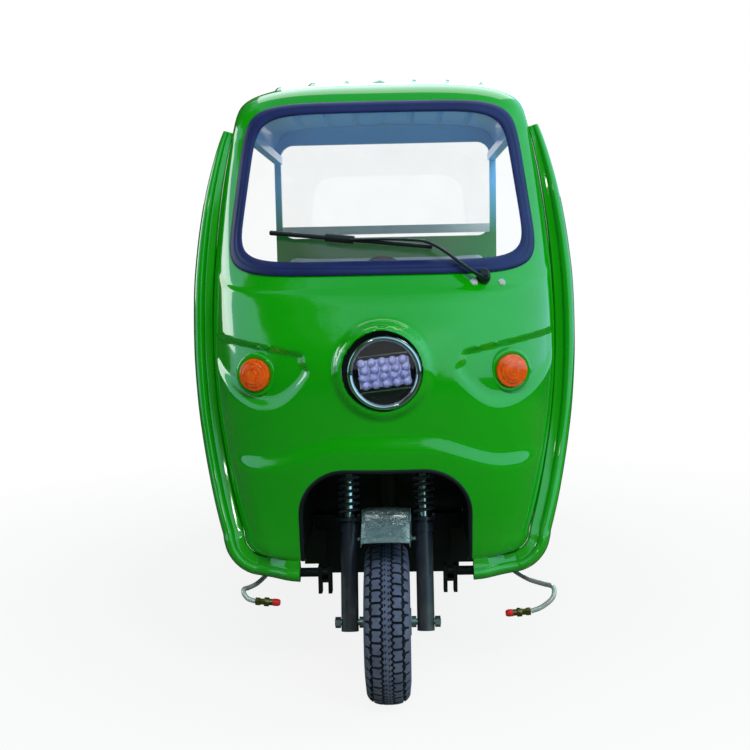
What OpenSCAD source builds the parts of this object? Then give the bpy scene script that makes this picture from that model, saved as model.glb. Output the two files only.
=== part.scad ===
// Electric garbage tricycle: a steered front wheel under an open-sided cab, two driven rear
// wheels and a tipping hopper. The front is -Y, the ground is z = 0 and the origin is midway
// along the length. All sizes are in millimetres.

/* [Overall] */
// Length from the front of the front tyre to the end of the tow plate
overall_length = 2800; // [2780:5:2840]
// Distance from the rear axle to the end of the tow plate
rear_overhang = 669; // [650:1:690]
// Distance from the back of the hopper to the end of the tow plate
tow_reach = 89; // [86:1:94]

/* [Wheels] */
// Outer diameter of each tyre
tyre_d = 402; // [394:2:410]
// Width of each tyre
tyre_w = 114; // [106:1:118]
// Diameter of the rims where the tyres sit
rim_d = 204; // [196:2:212]
// Distance between the middles of the rear tyres
rear_track = 820; // [810:2:840]

/* [Steering] */
// Lean of the fork from upright
rake = 14; // [12:0.5:16]
// Distance of the steering axis behind the fork legs
fork_offset = 20; // [16:1:24]
// Distance of each fork leg from the middle
leg_x = 96; // [94:0.5:98]
// Diameter of the sliding legs
slider_d = 44; // [40:1:46]
// Height of the handlebar along the fork from the axle
bar_reach = 840; // [820:5:860]

/* [Cab] */
// Distance of the nose ahead of the front axle
nose_overhang = 140; // [136:1:144]
// Distance from the nose to the rear wall
cab_length = 1300; // [1280:5:1320]
// Greatest width of the front shell
shell_w = 892; // [876:2:908]
// Height of the greatest width
shell_wide_z = 925; // [915:1:935]
// Radius of the sides in front view
shell_side_r = 2600; // [2500:20:2700]
// Radius of the shell's sides below their widest line
shell_low_r = 1550; // [1500:10:1620]
// Height of the lower edge of the shell
shell_low_z = 374; // [371:1:377]
// Radius of the lower corners in front view
shell_corner_r = 52; // [48:1:58]
// Thickness of the shell
shell_t = 5; // [4:0.5:6]
// Width of the wheel opening
arch_w = 414; // [408:2:418]
// Height of the top of the wheel opening
arch_z = 612; // [606:1:618]
// Diameter of the tube along the rim
rail_tube_d = 52; // [48:1:54]

/* [Windscreen] */
// Height of the middle of the windscreen
screen_z = 1300; // [1298:1:1303]
// Half height of the seal
screen_half_h = 224; // [220:1:226]
// Distance from the seal to the shell's widest line
screen_side = 71; // [69:1:79]
// Narrowing of the half width from bottom to top
screen_taper = 55; // [45:1:60]
// Visible width of the seal
seal_w = 34; // [30:1:38]

/* [Lamps] */
// Height of the headlamp
lamp_z = 853; // [848:1:858]
// Outer diameter of the headlamp ring
lamp_d = 176; // [170:1:180]
// Diameter of the hole around the headlamp
lamp_hole_d = 192; // [190:1:198]
// Sideways place of the headlamp in its hole
lamp_dx = 5; // [0:0.5:6]
// Drop of the headlamp in its hole
lamp_drop = 4; // [0:0.5:5]
// Sideways place of the turn signals
signal_x = 307; // [302:1:312]
// Height of the turn signals
signal_z = 840; // [834:1:846]
// Diameter of the turn signals
signal_d = 80; // [76:1:84]

/* [Chassis] */
// Distance of the middle of each rear tyre outside its chassis rail
rail_inset = 150; // [148:1:156]
// Width of the chassis rails
rail_w = 40; // [36:1:44]
// Height of the chassis rails
rail_h = 60; // [56:1:64]
// Height of the top of the rails
rail_top = 390; // [386:1:394]

/* [Seat] */
// Height of the seat box above the floor
seat_box_h = 296; // [280:2:310]
// Depth of the seat box
seat_box_d = 360; // [350:2:370]
// Room beside the seat on both sides together
seat_room = 192; // [184:4:212]
// Thickness of the seat cushion
cushion_t = 90; // [80:2:100]

/* [Hopper] */
// How much wider the hopper is than the track of the rear tyres
hopper_over = 140; // [130:2:150]
// Height of the hopper floor
hopper_floor_z = 456; // [454:1:460]
// Height of the top of the hopper walls
hopper_top_z = 975; // [965:1:985]
// Thickness of the hopper sheets
sheet_t = 4; // [3:0.5:5]
// Distance from the tilt pins to the ram's pins
ram_arm = 400; // [395:1:405]

/* [Hidden] */
tyre_r = tyre_d / 2;
front_axle_y = -overall_length / 2 + tyre_r;
rear_axle_y = overall_length / 2 - rear_overhang;
nose_y = front_axle_y - nose_overhang;
wall_y = nose_y + cab_length;
wall_t = 20;
floor_t = 4;
floor_z = rail_top + floor_t;
head_low = 490;
head_high = 682;
stanchion_r = 14;
spring_low = 264;
spring_high = 468;
hopper_y0 = wall_y + wall_t + 30;
hopper_y1 = overall_length / 2 - tow_reach;
hopper_length = hopper_y1 - hopper_y0;
hopper_w = rear_track + hopper_over;
rail_x = rear_track / 2 - rail_inset;
well_x = rail_x - 45;
pivot_y = hopper_y1 - 50;
pivot_z = rail_top + 36;
pin_r = 12;
fit = 0.05;
gap = 0.3;
ram_angle = 34;
ram_low_y = pivot_y - ram_arm * cos(ram_angle);
ram_low_z = pivot_z - ram_arm * sin(ram_angle);
ram_cross_y = ram_low_y - 120;
ram_high_y = pivot_y - ram_arm;
ram_closed = 2 * ram_arm * sin(ram_angle / 2);
screen_half_w = shell_w / 2 - screen_side;
seat_w = shell_w - seat_room;
floor_half_w = shell_w / 2 - 26;
roof_half_w = rim_half(1480);
window_w = 2 * roof_half_w - 44;
window_low = 1196;
roof_edge_z = 1480;
window_high = roof_edge_z + 40;
roof_top_z = 1591;
roof_front = 480;
rib_pitch = 92;
screen_parting = 5.5;
screen_power = 6.9;
signal_lift = 12;
roof_power = 3.3;
beam_w = 80;
lid_y0 = hopper_y0 + 12;
lid_y1 = hopper_y1 - 12;
lid_hinge_x = beam_w / 2 + 12;
lid_hinge_z = hopper_top_z + 52;
gate_hinge_y = hopper_y1 + 28;
gate_hinge_z = hopper_top_z + 20;

// Smooth step from 0 at a to 1 at b
function ease(a, b, v) = let (t = min(1, max(0, (v - a) / (b - a)))) t * t * (3 - 2 * t);

// Half width of the shell's rim at a height
function rim_half(z) =
  let (low = shell_low_z + shell_corner_r, drop = max(0, low - z),
    r = z > shell_wide_z ? shell_side_r : shell_low_r)
  shell_w / 2 - r + sqrt(r * r - pow(max(z, low) - shell_wide_z, 2))
  - shell_corner_r + sqrt(max(0, pow(shell_corner_r, 2) - drop * drop));

// Stations up the front shell: middle height, middle setback, rim height, rim setback
shell_stations = [
  [shell_low_z, 85, shell_low_z, 169],
  [410, 75, 410, 184],
  [480, 56, 480, 212],
  [640, 16, 640, 272],
  [853, 0, 853, 315],
  [1000, 60, 1000, 330],
  [1100, 124, 1096, 340],
  [1300, 226, 1285, 362],
  [1450, 303, 1415, 392],
  [1530, 350, 1465, 420],
  [1572, 404, 1477, 450],
  [roof_top_z, roof_front, roof_edge_z, roof_front]
];

// Smooth curve through the stations
function station(t) =
  let (last = len(shell_stations) - 1, i = min(last - 1, floor(t)), u = t - i,
    b = shell_stations[i], c = shell_stations[i + 1],
    a = i > 0 ? shell_stations[i - 1] : 2 * b - c,
    d = i < last - 1 ? shell_stations[i + 2] : 2 * c - b)
  b + 0.5 * u * ((c - a) + u * ((2 * a - 5 * b + 4 * c - d) + u * (3 * (b - c) + d - a)));

// Edge of the windscreen seal in front view, grown by g
function screen_edge(angle, g) =
  let (c = cos(angle), s = sin(angle), p = 2 / screen_power,
    z = sign(s) * pow(abs(s), p) * (screen_half_h + g))
  [sign(c) * pow(abs(c), p) * (screen_half_w + g - screen_taper * z / (2 * screen_half_h)),
    screen_z + z];

// How far a point lies inside or outside the seal's edge, 1 on it
function screen_ratio(x, z, g) =
  pow(pow(abs(x) / (screen_half_w + g - screen_taper * (z - screen_z) / (2 * screen_half_h)), screen_power)
    + pow(abs(z - screen_z) / (screen_half_h + g), screen_power), 1 / screen_power);

// Relief of the moulded front: wheel-arch bulge, signal hollows and windscreen step
function relief(x, z, half) =
  let (ax = abs(x), fade = 1 - ease(0.8, 1, ax / half),
    belt = 612 + 56 * (1 - ease(90, 300, ax)),
    hollow_low = ax > 285 ? 760 + 130 * pow((ax - 285) / 170, 2)
      : 760 + 75 * pow((285 - ax) / 103, 2),
    hollow = ease(0, 20, 905 + 0.16 * (ax - 245) - z) * ease(-10, 36, z - hollow_low)
      * ease(182, 216, ax + 0.9 * max(0, 870 - z)) * (1 - ease(0.92, 1, ax / half)))
  12 * fade * (1 - ease(belt - 14, belt + 38, z))
  - 17 * hollow
  - 5 * (1 - ease(1.0, 1.06, screen_ratio(x, z, 34))) * (1 - ease(1430, 1474, z));

// Squareness of the shell's section at station t: an ellipse below, flatter towards the roof
function shell_power(t) = 2 + (roof_power - 2) * ease(6.5, 10.5, t);

// Height share of a section at a share of its half width
function bow(share, power) = pow(max(0, 1 - pow(min(1, abs(share)), power)), 1 / power);

// Point of the front shell at station t and angle a from the middle, moved in by d
function shell_point(t, a, d) =
  let (s = station(t), half = rim_half(min(s[2], roof_edge_z)) - d, k = ease(7, 11, t),
    q = 2 / shell_power(t), c = pow(max(0, cos(a)), q),
    x = half * sign(a) * pow(abs(sin(a)), q), z0 = s[0] - d * k, z = z0 + (s[2] - z0) * (1 - c),
    m = s[1] + d * (1 - k))
  [x, nose_y + m + (s[3] - m) * (1 - c) - relief(x, z, half), z];

// Setback of the shell's outer face at a place in front view
function shell_y(x, z) =
  let (t = station_at(z, x), s = station(t), half = rim_half(min(s[2], roof_edge_z)))
  nose_y + s[1] + (s[3] - s[1]) * (1 - bow(x / half, shell_power(t))) - relief(x, z, half);

// Station whose section passes through a place in front view
function station_at(z, x, low = 0, high = 11, n = 24) =
  let (mid = (low + high) / 2, s = station(mid), half = rim_half(min(s[2], roof_edge_z)),
    zm = s[0] + (s[2] - s[0]) * (1 - bow(x / half, shell_power(mid))))
  n == 0 ? mid : zm < z ? station_at(z, x, mid, high, n - 1) : station_at(z, x, low, mid, n - 1);

// Closed skin over rings of equal length; crescent caps join the two halves of each end ring
module skin(rings, loop = false, crescent = false) {
  n = len(rings[0]);
  m = len(rings);
  sides = [for (i = [0 : m - (loop ? 1 : 2)], j = [0 : n - 1])
    let (a = i * n + j, b = i * n + (j + 1) % n, c = (a + n) % (m * n), d = (b + n) % (m * n))
    each [[a, d, b], [a, c, d]]];
  e = (m - 1) * n;
  caps = loop ? [] : crescent
    ? [for (j = [0 : n / 2 - 2]) each [[j, j + 1, n - 2 - j], [j, n - 2 - j, n - 1 - j],
        [e + j, e + n - 2 - j, e + j + 1], [e + j, e + n - 1 - j, e + n - 2 - j]]]
    : [[for (j = [0 : n - 1]) j], [for (j = [n - 1 : -1 : 0]) e + j]];
  polyhedron([for (r = rings) each r], concat(sides, caps));
}

// Part of the front shell between two stations
module shell_skin(stations) {
  // Angles from the middle, closer together towards the rim
  turns = [for (k = [-16 : 16]) sign(k) * 90 * (1 - pow(1 - abs(k) / 16, 1.25))];
  skin([for (t = stations) concat([for (a = turns) shell_point(t, a, 0)],
    [for (k = [32 : -1 : 0]) shell_point(t, turns[k], shell_t)])], crescent = true);
}

// Round bar between two points
module bar(p, q, r) {
  v = q - p;
  translate(p) rotate([0, acos(v[2] / norm(v)), atan2(v[1], v[0])]) cylinder(r = r, h = norm(v));
}

// Smooth curve through points, steps pieces between each two
function smooth(p, steps) = let (last = len(p) - 1)
  concat([for (i = [0 : last - 1], k = [0 : steps - 1])
    let (u = k / steps, b = p[i], c = p[i + 1], a = i > 0 ? p[i - 1] : 2 * b - c,
      d = i < last - 1 ? p[i + 2] : 2 * c - b)
    b + 0.5 * u * ((c - a) + u * ((2 * a - 5 * b + 4 * c - d) + u * (3 * (b - c) + d - a)))],
    [p[last]]);

// Round tube swept along points; the side vector is never along the path
module sweep(p, r, side = [0, 1, 0], n = 10) {
  last = len(p) - 1;
  skin([for (i = [0 : last])
    let (v = p[min(last, i + 1)] - p[max(0, i - 1)], e = cross(v, side), a = e / norm(e),
      f = cross(v, a), b = f / norm(f))
    [for (k = [0 : n - 1]) p[i] + r * (a * cos(360 * k / n) + b * sin(360 * k / n))]]);
}

// Square-cornered handle of round bar: a grip and two posts
module handle(p, along, up, r) {
  bar(p - along / 2, p - along / 2 + up, r);
  bar(p + along / 2, p + along / 2 + up, r);
  bar(p - 0.56 * along + 0.8 * up, p + 0.56 * along + 0.8 * up, r * 0.9);
}

// Box from one corner to the opposite one
module block(a, b) {
  translate(a) cube(b - a);
}

// Cylinder along X from x0 to x1
module rod_x(x0, x1, y, z, r) {
  translate([x0, y, z]) rotate([0, 90, 0]) cylinder(r = r, h = x1 - x0);
}

// Rounded plate in the XZ plane, y from 0 to t
module rounded_plate(w, z0, z1, r, t) {
  rotate([90, 0, 0]) translate([0, 0, -t]) linear_extrude(t) {
    translate([-w / 2 + r, z0]) square([w - 2 * r, z1 - z0]);
    translate([-w / 2, z0 + r]) square([w, z1 - z0 - 2 * r]);
    for (x = [-1, 1], z = [z0 + r, z1 - r]) translate([x * (w / 2 - r), z]) circle(r = r);
  }
}

// Places children in the fork's frame: z runs up the legs from the axle
module on_fork() {
  translate([0, front_axle_y, tyre_r]) rotate([-rake, 0, 0]) children();
}

module chassis_rails() {
  color("dimgray") for (s = [-1, 1])
    block([s * rail_x - rail_w / 2, nose_y + 236, rail_top - rail_h],
      [s * rail_x + rail_w / 2, pivot_y + 40, rail_top]);
}

// Places of the cross members along the vehicle
cross_ys = [nose_y + 560, wall_y - 60, (wall_y - 60 + ram_cross_y) / 2, ram_cross_y, pivot_y - 20];

module cross_members() {
  inner = rail_x - rail_w / 2;
  color("dimgray") for (y = cross_ys)
    block([-inner, y - 20, rail_top - rail_h], [inner, y + 20, rail_top - 5]);
}

module steering_neck() {
  color("dimgray") difference() {
    union() {
      on_fork() translate([0, fork_offset, head_low]) {
        cylinder(r = 25, h = head_high - head_low);
        cylinder(r = 30, h = 16);
        translate([0, 0, head_high - head_low - 16]) cylinder(r = 30, h = 16);
      }
      bar([0, nose_y + 316, 730], [0, nose_y + 552, rail_top - 20], 27);
      block([-60, nose_y + 535, rail_top - 5], [60, nose_y + 580, rail_top + 25]);
    }
    on_fork() translate([0, fork_offset, head_low - 50]) cylinder(r = stanchion_r + fit, h = 300);
    block([-300, nose_y + 400, 250], [300, nose_y + 700, rail_top - 5]);
  }
}

module front_hangers() {
  y = nose_y + 252;
  color("black") for (s = [-1, 1]) {
    rod_x(min(s * 146, s * 272), max(s * 146, s * 272), y, 300, 12);
    block([s * rail_x - 14, y - 14, 292], [s * rail_x + 14, y + 14, rail_top - rail_h]);
    for (x = [151, 177]) block([s * x - 5, y - 15, 246], [s * x + 5, y + 15, 318]);
    block([s * 164 - 9, y - 15, 276], [s * 164 + 9, y + 15, 284]);
  }
}

module cab_floor() {
  color("dimgray") {
    block([-floor_half_w, nose_y + 625.3, rail_top], [floor_half_w, wall_y - gap, floor_z]);
    toe_out = floor_half_w - 55;
    for (s = [-1, 1]) block([min(s * (well_x + 7), s * toe_out), nose_y + 240, rail_top],
      [max(s * (well_x + 7), s * toe_out), nose_y + 625, floor_z]);
  }
}

module bulkhead() {
  color("darkgreen") rotate([90, 0, 90]) translate([0, 0, 2 - well_x]) linear_extrude(2 * well_x - 4)
    polygon([[nose_y + 620, floor_z - 4], [nose_y + 625, floor_z - 4], [nose_y + 625, floor_z + 4],
      [nose_y + 435, 690], [nose_y + 429, 690]]);
}

module wheel_well() {
  color("black") {
    for (s = [-1, 1]) translate([s > 0 ? well_x : -well_x - 3, 0, 0])
      rotate([90, 0, 90]) linear_extrude(3)
      polygon([[nose_y + 178, 358], [nose_y + 538, 358], [nose_y + 538, 388], [nose_y + 622, 388],
        [nose_y + 622, 400], [nose_y + 440, 690],
        [nose_y + 150, 690], [nose_y + 110, 600], [nose_y + 130, 420]]);
    translate([0, nose_y + 540 - gap, 0]) rotate([90, 0, 0]) linear_extrude(3.7) difference() {
      union() {
        translate([-well_x + 2, 290]) square([2 * well_x - 4, 94]);
        translate([-well_x + 29, 215]) square([2 * well_x - 58, 76]);
      }
      translate([-45, 326]) square([90, 60]);
    }
  }
}

// Opening for the front wheel
module arch_cut() {
  r = 118;
  block([-arch_w / 2, nose_y - 100, 200], [arch_w / 2, nose_y + 300, arch_z - r]);
  block([-arch_w / 2 + r, nose_y - 100, 200], [arch_w / 2 - r, nose_y + 300, arch_z]);
  for (s = [-1, 1]) translate([s * (arch_w / 2 - r), nose_y + 300, arch_z - r])
    rotate([90, 0, 0]) cylinder(r = r, h = 400, $fn = 64);
}

// Places children on a turn signal's axis, z pointing out of the lamp
module on_signal(side) {
  translate([side * signal_x, shell_y(signal_x, signal_z), signal_z])
    rotate([90, 0, side * 18]) children();
}

module cowl() {
  color("green") {
    difference() {
      union() {
        shell_skin([0, 0.06, 0.16, 0.34, 0.6, 1.05, 1.5, 2, 2.35, 2.6, 2.75, 2.9, 3.1, 3.35, 3.5,
          3.6, 3.7, 3.8, 3.95, 4.1, 4.22, 4.34, 4.46, 4.7, 4.95, 5.2, screen_parting]);
        translate([0, nose_y + 45, lamp_z]) rotate([90, 0, 0])
          cylinder(r1 = lamp_hole_d / 2 + 16, r2 = lamp_hole_d / 2 + 8, h = 59, $fn = 64);
        for (s = [-1, 1]) on_signal(s) translate([0, 0, -20])
          cylinder(r1 = signal_d / 2 + 16, r2 = signal_d / 2 + 11, h = 20 + signal_lift, $fn = 48);
      }
      arch_cut();
      translate([0, nose_y + 300, lamp_z]) rotate([90, 0, 0])
        cylinder(r = lamp_hole_d / 2, h = 400, $fn = 64);
    }
    for (s = [-1, 1], z = [520, 640, 780, 920]) hull() {
      y = nose_y + station(station_at(z, 0))[3];
      for (e = [0, 14]) translate([s * (rim_half(z) - 16 - e), y - 8, z])
        rotate([90, 0, 0]) cylinder(r = e > 0 ? 6 : 14, h = 4, $fn = 16);
    }
  }
}

module screen_frame() {
  color("green") difference() {
    shell_skin([screen_parting, 5.7, 5.9, 6.1, 6.35, 6.7, 7, 7.35, 7.7, 8, 8.3, 8.6, 8.85, 9.1, 9.4,
      9.7, 10, 10.35, 10.7, 11]);
    translate([0, nose_y + 700, 0]) rotate([90, 0, 0]) linear_extrude(800)
      polygon([for (a = screen_turns) screen_edge(a, -seal_w / 2)]);
    for (s = [-1, 1], z = [1130, 1230, 1330, 1430]) hull() {
      y = nose_y + station(station_at(z, 0))[3];
      for (e = [-8, 8]) translate([s * rim_half(z), y + 4, z + e])
        rotate([90, 0, 0]) cylinder(r = 2, h = 14, $fn = 12);
    }
  }
}

// Edge of the shell at station t in front view
function rim_edge(t) = let (z = station(t)[2]) [rim_half(z), z];

// Radius of the tube beside the rim at station t, slimmer towards the top
function rail_r(t) = rail_tube_d / 2 * (1 - 0.5 * ease(5.6, 8.9, t));

// Middle of the tube beside the rim at station t
function rail_path(t) =
  let (v = rim_edge(t + 0.02) - rim_edge(max(0, t - 0.02)), w = (rail_r(t) + 1) * v / norm(v),
    e = rim_edge(t))
  [e[0] + w[1], nose_y + station(t)[3] - 8, e[1] - w[0]];

module side_rails() {
  ts = [0.02, 0.06, 0.12, 0.22, 0.36, 0.52, 0.7, 0.9, 1.15, 1.5, 1.9, 2.3, 2.7, 3.1, 3.5, 4, 4.5, 5,
    5.5, 6, 6.5, 7, 7.5, 8, 8.4, 8.75];
  low_half = rim_half(shell_low_z);
  xs = [arch_w / 2 + 8, arch_w / 2 + 40, low_half - 25];
  path = concat([for (x = xs) [x, shell_y(x, shell_low_z) + 2.5 + 8 * ease(0.6, 1, x / low_half),
      shell_low_z - rail_tube_d / 2 - 1]],
    [for (t = ts) rail_path(t)]);
  radii = concat([for (x = xs) rail_tube_d / 2], [for (t = ts) rail_r(t)]);
  last = len(path) - 1;
  color("green") for (s = [-1, 1]) mirror([s < 0 ? 1 : 0, 0, 0])
    skin([for (i = [0 : last])
      let (v = path[min(last, i + 1)] - path[max(0, i - 1)], w = [v[0], 0, v[2]] / norm([v[0], v[2]]),
        out = [w[2], 0, -w[0]])
      [for (k = [0 : 9]) path[i] + radii[i] * (out * cos(36 * k) + [0, 1, 0] * sin(36 * k))]]);
}

// Turns that step evenly round the windscreen's edge
quarter_turns = [for (v = [0, 0.17, 0.34, 0.5, 0.64, 0.76, 0.84, 0.89]) asin(pow(v, screen_power / 2))];
quarter_last = len(quarter_turns) - 1;
screen_turns = [for (q = [0 : 90 : 270]) each concat([for (a = quarter_turns) q + a],
  [for (k = [quarter_last : -1 : 1]) q + 90 - quarter_turns[k]])];

// Point of the glass on a ray from its middle, lifted out by d
function screen_point(angle, share, g, d) =
  let (e = screen_edge(angle, g), x = e[0] * share, z = screen_z + (e[1] - screen_z) * share)
  [x, shell_y(x, z) - d, z];

module windscreen() {
  shares = [0.02, 0.3, 0.6, 0.85, 1];
  color("lightblue", 0.4) skin(concat(
    [for (k = shares) [for (a = screen_turns) screen_point(a, k, -seal_w / 2 - 3, 3)]],
    [for (k = [4 : -1 : 0]) [for (a = screen_turns) screen_point(a, shares[k], -seal_w / 2 - 3, -3)]]));
}

module windscreen_seal() {
  // Grow of the edge and lift out of the shell round the seal's section
  section = [[0, 3.3], [-5, 9], [-seal_w / 2, 12], [5 - seal_w, 9], [-seal_w, 3.6],
    [-seal_w / 2 - 2, 3.6], [-seal_w / 2 - 2, 3.3]];
  color("black") skin([for (a = screen_turns) [for (p = section) screen_point(a, 1, p[0], p[1])]],
    loop = true);
}

// Roof section in front view at a share of its full size
function roof_edge(a, d) =
  let (q = 2 / roof_power)
  [(roof_half_w - d) * sign(a) * pow(abs(sin(a)), q),
    roof_edge_z + (roof_top_z - roof_edge_z - d) * pow(max(0, cos(a)), q)];

module roof() {
  y0 = nose_y + roof_front;
  long = wall_y + wall_t + 24 - y0;
  color("green") {
    translate([0, y0 + long, 0]) rotate([90, 0, 0]) linear_extrude(long)
      polygon(concat([for (a = [-90 : 5 : 90]) roof_edge(a, 0)],
        [for (a = [90 : -5 : -90]) roof_edge(a, shell_t)]));
    for (k = [-3 : 3])
      let (a = sign(k) * asin(pow(abs(k) * rib_pitch / roof_half_w, roof_power / 2)), e = roof_edge(a, 0))
      bar([e[0], y0 + 30, e[1] + 3], [e[0], y0 + long - 20, e[1] + 3], 7);
  }
}

module roof_rails() {
  color("green") for (s = [-1, 1])
    block([s * (roof_half_w - 16) - 13, nose_y + roof_front + gap, roof_edge_z - 26],
      [s * (roof_half_w - 16) + 13, wall_y - gap, roof_edge_z]);
}

module rear_wall() {
  color("green") difference() {
    union() {
      block([-roof_half_w, wall_y, rail_top], [roof_half_w, wall_y + wall_t, roof_edge_z]);
      translate([0, wall_y + wall_t, 0]) rotate([90, 0, 0]) linear_extrude(wall_t)
        polygon([for (a = [-90 : 5 : 90]) roof_edge(a, shell_t + gap)]);
    }
    translate([0, wall_y - 1, 0]) rounded_plate(window_w, window_low, window_high, 45, wall_t + 2);
  }
}

module rear_glass() {
  color("lightblue", 0.4) translate([0, wall_y + 8, 0])
    rounded_plate(window_w - 0.4, window_low + 0.2, window_high - 0.2, 44.8, 4);
}

// Places children on the lamp's axis, z pointing into the cab
module on_lamp() {
  translate([lamp_dx, nose_y - 8, lamp_z - lamp_drop]) rotate([-90, 0, 0]) children();
}

module lamp_bowl() {
  color("black") {
    difference() {
      translate([0, nose_y + 10, lamp_z]) rotate([-90, 0, 0]) cylinder(r = lamp_hole_d / 2 - gap, h = 4);
      on_lamp() cylinder(r = 82, h = 40);
    }
    on_lamp() rotate_extrude() polygon([[0, 62], [40, 60], [70, 44], [82, 20], [86, 20], [86, 24], [73, 48],
      [42, 66], [0, 68]]);
  }
}

module lamp_ring() {
  color("silver") on_lamp() rotate_extrude()
    polygon([[74, 17.8], [74, -4], [77, -9], [81, -11], [85, -9], [88, -4],
      [88, 17.8]]);
}

module lamp_emitters() {
  color("white") on_lamp() {
    rotate([0, 0, -6]) {
      difference() {
        translate([-62, -34, 6]) cube([124, 68, 12]);
        translate([-58, -23, 5]) cube([116, 46, 4]);
      }
      for (i = [-2 : 2], j = [-1 : 1]) translate([i * 22 + (j == 0 ? 5 : -5), j * 15, 4.5])
        cylinder(r1 = 4, r2 = 6.5, h = 4.5);
    }
    translate([0, 0, 17]) cylinder(r = 20, h = 43.9);
  }
}

module turn_signals() {
  r = signal_d / 2;
  color("orange") for (s = [-1, 1]) on_signal(s) translate([0, 0, signal_lift + 0.2])
    rotate_extrude() polygon([[0, 0], [r, 0], [r, 6], [r - 3, 9], [r - 10, 10], [r - 11, 13],
      [r - 17, 14], [r - 18, 16], [0, 17]]);
}

// Place on the windscreen lifted out by d
function on_glass(x, z, d) = [x, shell_y(x, z) - d, z];

module wiper() {
  pivot = on_glass(250, 1064, 6.4);
  knee = on_glass(130, 1146, 30);
  grip = on_glass(-75, 1163, 26);
  color("black") {
    translate(pivot) rotate([60, 0, 0]) cylinder(r = 17, h = 28);
    sweep([on_glass(250, 1064, 22), on_glass(215, 1085, 30), knee, on_glass(60, 1160, 34), grip], 7,
      [0, 0, 1]);
    sweep([for (k = [0 : 6]) on_glass(-275 + 66.7 * k, 1185 - 7.3 * k, 16)], 9, [0, 0, 1]);
  }
}

module seat_box() {
  y0 = wall_y - seat_box_d;
  top = floor_z + seat_box_h;
  color("dimgray") difference() {
    block([-seat_w / 2, y0, floor_z], [seat_w / 2, wall_y - gap, top]);
    block([-seat_w / 2 + 4, y0 + 4, floor_z - 1], [seat_w / 2 - 4, wall_y - 5, top - 4]);
  }
}

module battery() {
  color("black") block([70 - seat_w / 2, wall_y - seat_box_d + 40, floor_z],
    [seat_w / 2 - 70, wall_y - 30, floor_z + 230]);
}

// Cushion with rounded edges between two corners
module cushion(a, b, r) {
  hull() for (x = [a[0] + r, b[0] - r], y = [a[1] + r, b[1] - r], z = [a[2] + r, b[2] - r])
    translate([x, y, z]) sphere(r = r, $fn = 20);
}

module seat_cushion() {
  z = floor_z + seat_box_h;
  color("gray") cushion([-seat_w / 2, wall_y - seat_box_d - 20, z],
    [seat_w / 2, wall_y - 40, z + cushion_t], 25);
}

module seat_back() {
  color("gray") cushion([-seat_w / 2, wall_y - 82, floor_z + seat_box_h + cushion_t + 10],
    [seat_w / 2, wall_y, window_low - 44], 24);
}

module brake_pedal() {
  y = nose_y + 640;
  color("black") {
    block([90, y, floor_z], [130, y + 30, floor_z + 20]);
    bar([110, y + 15, floor_z + 10], [110, y - 5, floor_z + 120], 6);
    translate([110, y - 8, floor_z + 120]) rotate([60, 0, 0]) translate([-35, -25, -5])
      cube([70, 50, 10]);
  }
}

// Bends of each spray pipe: sideways, setback and height
pipe_left = [[-292, 300, 352], [-312, 264, 304], [-335, 215, 286], [-352, 160, 289], [-359, 120, 297],
  [-357, 99, 293], [-346, 92, 281], [-328, 90, 275]];
pipe_right = [[292, 300, 352], [322, 264, 304], [360, 215, 287], [394, 160, 289], [412, 121, 294],
  [414, 100, 286], [406, 92, 270], [381, 90, 251], [355, 90, 241]];

// Fittings along each nozzle arm: length and radius
fitting_steps = [[12, 10], [10, 8], [12, 11], [10, 8]];

// Sum of the fitting lengths before one
function fitting_start(i) = i == 0 ? 0 : fitting_start(i - 1) + fitting_steps[i - 1][0];

module spray_pipes() {
  color("silver") for (path = [pipe_left, pipe_right])
    sweep(smooth([for (p = path) [p[0], nose_y + p[1], p[2]]], 3), 6, [0.2, 0.3, 1], 8);
}

// Places children at a pipe's end, z pointing along the nozzle
module on_nozzle(path) {
  end = path[len(path) - 1];
  translate([end[0], nose_y + end[1], end[2]]) rotate([0, end[0] < 0 ? 94 : -94, 0])
    translate([0, 0, 0.7]) children();
}

module spray_fittings() {
  color("goldenrod") for (path = [pipe_left, pipe_right]) on_nozzle(path)
    for (i = [0 : 3]) translate([0, 0, fitting_start(i)])
      cylinder(r = fitting_steps[i][1], h = fitting_steps[i][0]);
}

module spray_tips() {
  color("red") for (path = [pipe_left, pipe_right]) on_nozzle(path)
    translate([0, 0, fitting_start(4)]) cylinder(r = 9, h = 18);
}

module rear_axle() {
  hub_x = rear_track / 2;
  color("dimgray") {
    rod_x(-hub_x + 62, hub_x - 62, rear_axle_y, tyre_r, 30);
    rod_x(-hub_x - 34, hub_x + 34, rear_axle_y, tyre_r, pin_r);
    rod_x(-45, 45, rear_axle_y, tyre_r, 92);
    for (s = [-1, 1]) rod_x(s * (hub_x - 66) - 4, s * (hub_x - 66) + 4, rear_axle_y, tyre_r, 82);
    for (s = [-1, 1])
      block([s * rail_x - 28, rear_axle_y - 40, tyre_r + 10],
        [s * rail_x + 28, rear_axle_y + 40, tyre_r + 34]);
  }
}

module drive_motor() {
  y = rear_axle_y - 178;
  color("gray") {
    rod_x(-30, 180, y, tyre_r + 10, 80);
    for (k = [0 : 5]) rod_x(20 + 24 * k, 28 + 24 * k, y, tyre_r + 10, 86);
    block([-30, y, tyre_r - 50], [30, rear_axle_y - 92.3, tyre_r + 50]);
  }
}

// Half lengths of the leaves of each rear spring, shortest first
leaves = [160, 250, 330];
leaf_t = 8;
leaf_r = 1300;

// Height of the spring's top and thickness at a distance from the axle
function leaf_rise(y) = leaf_r - sqrt(leaf_r * leaf_r - y * y);
function leaf_depth(y) = leaf_t * len([for (f = leaves) if (f >= abs(y)) 1]);

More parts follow.
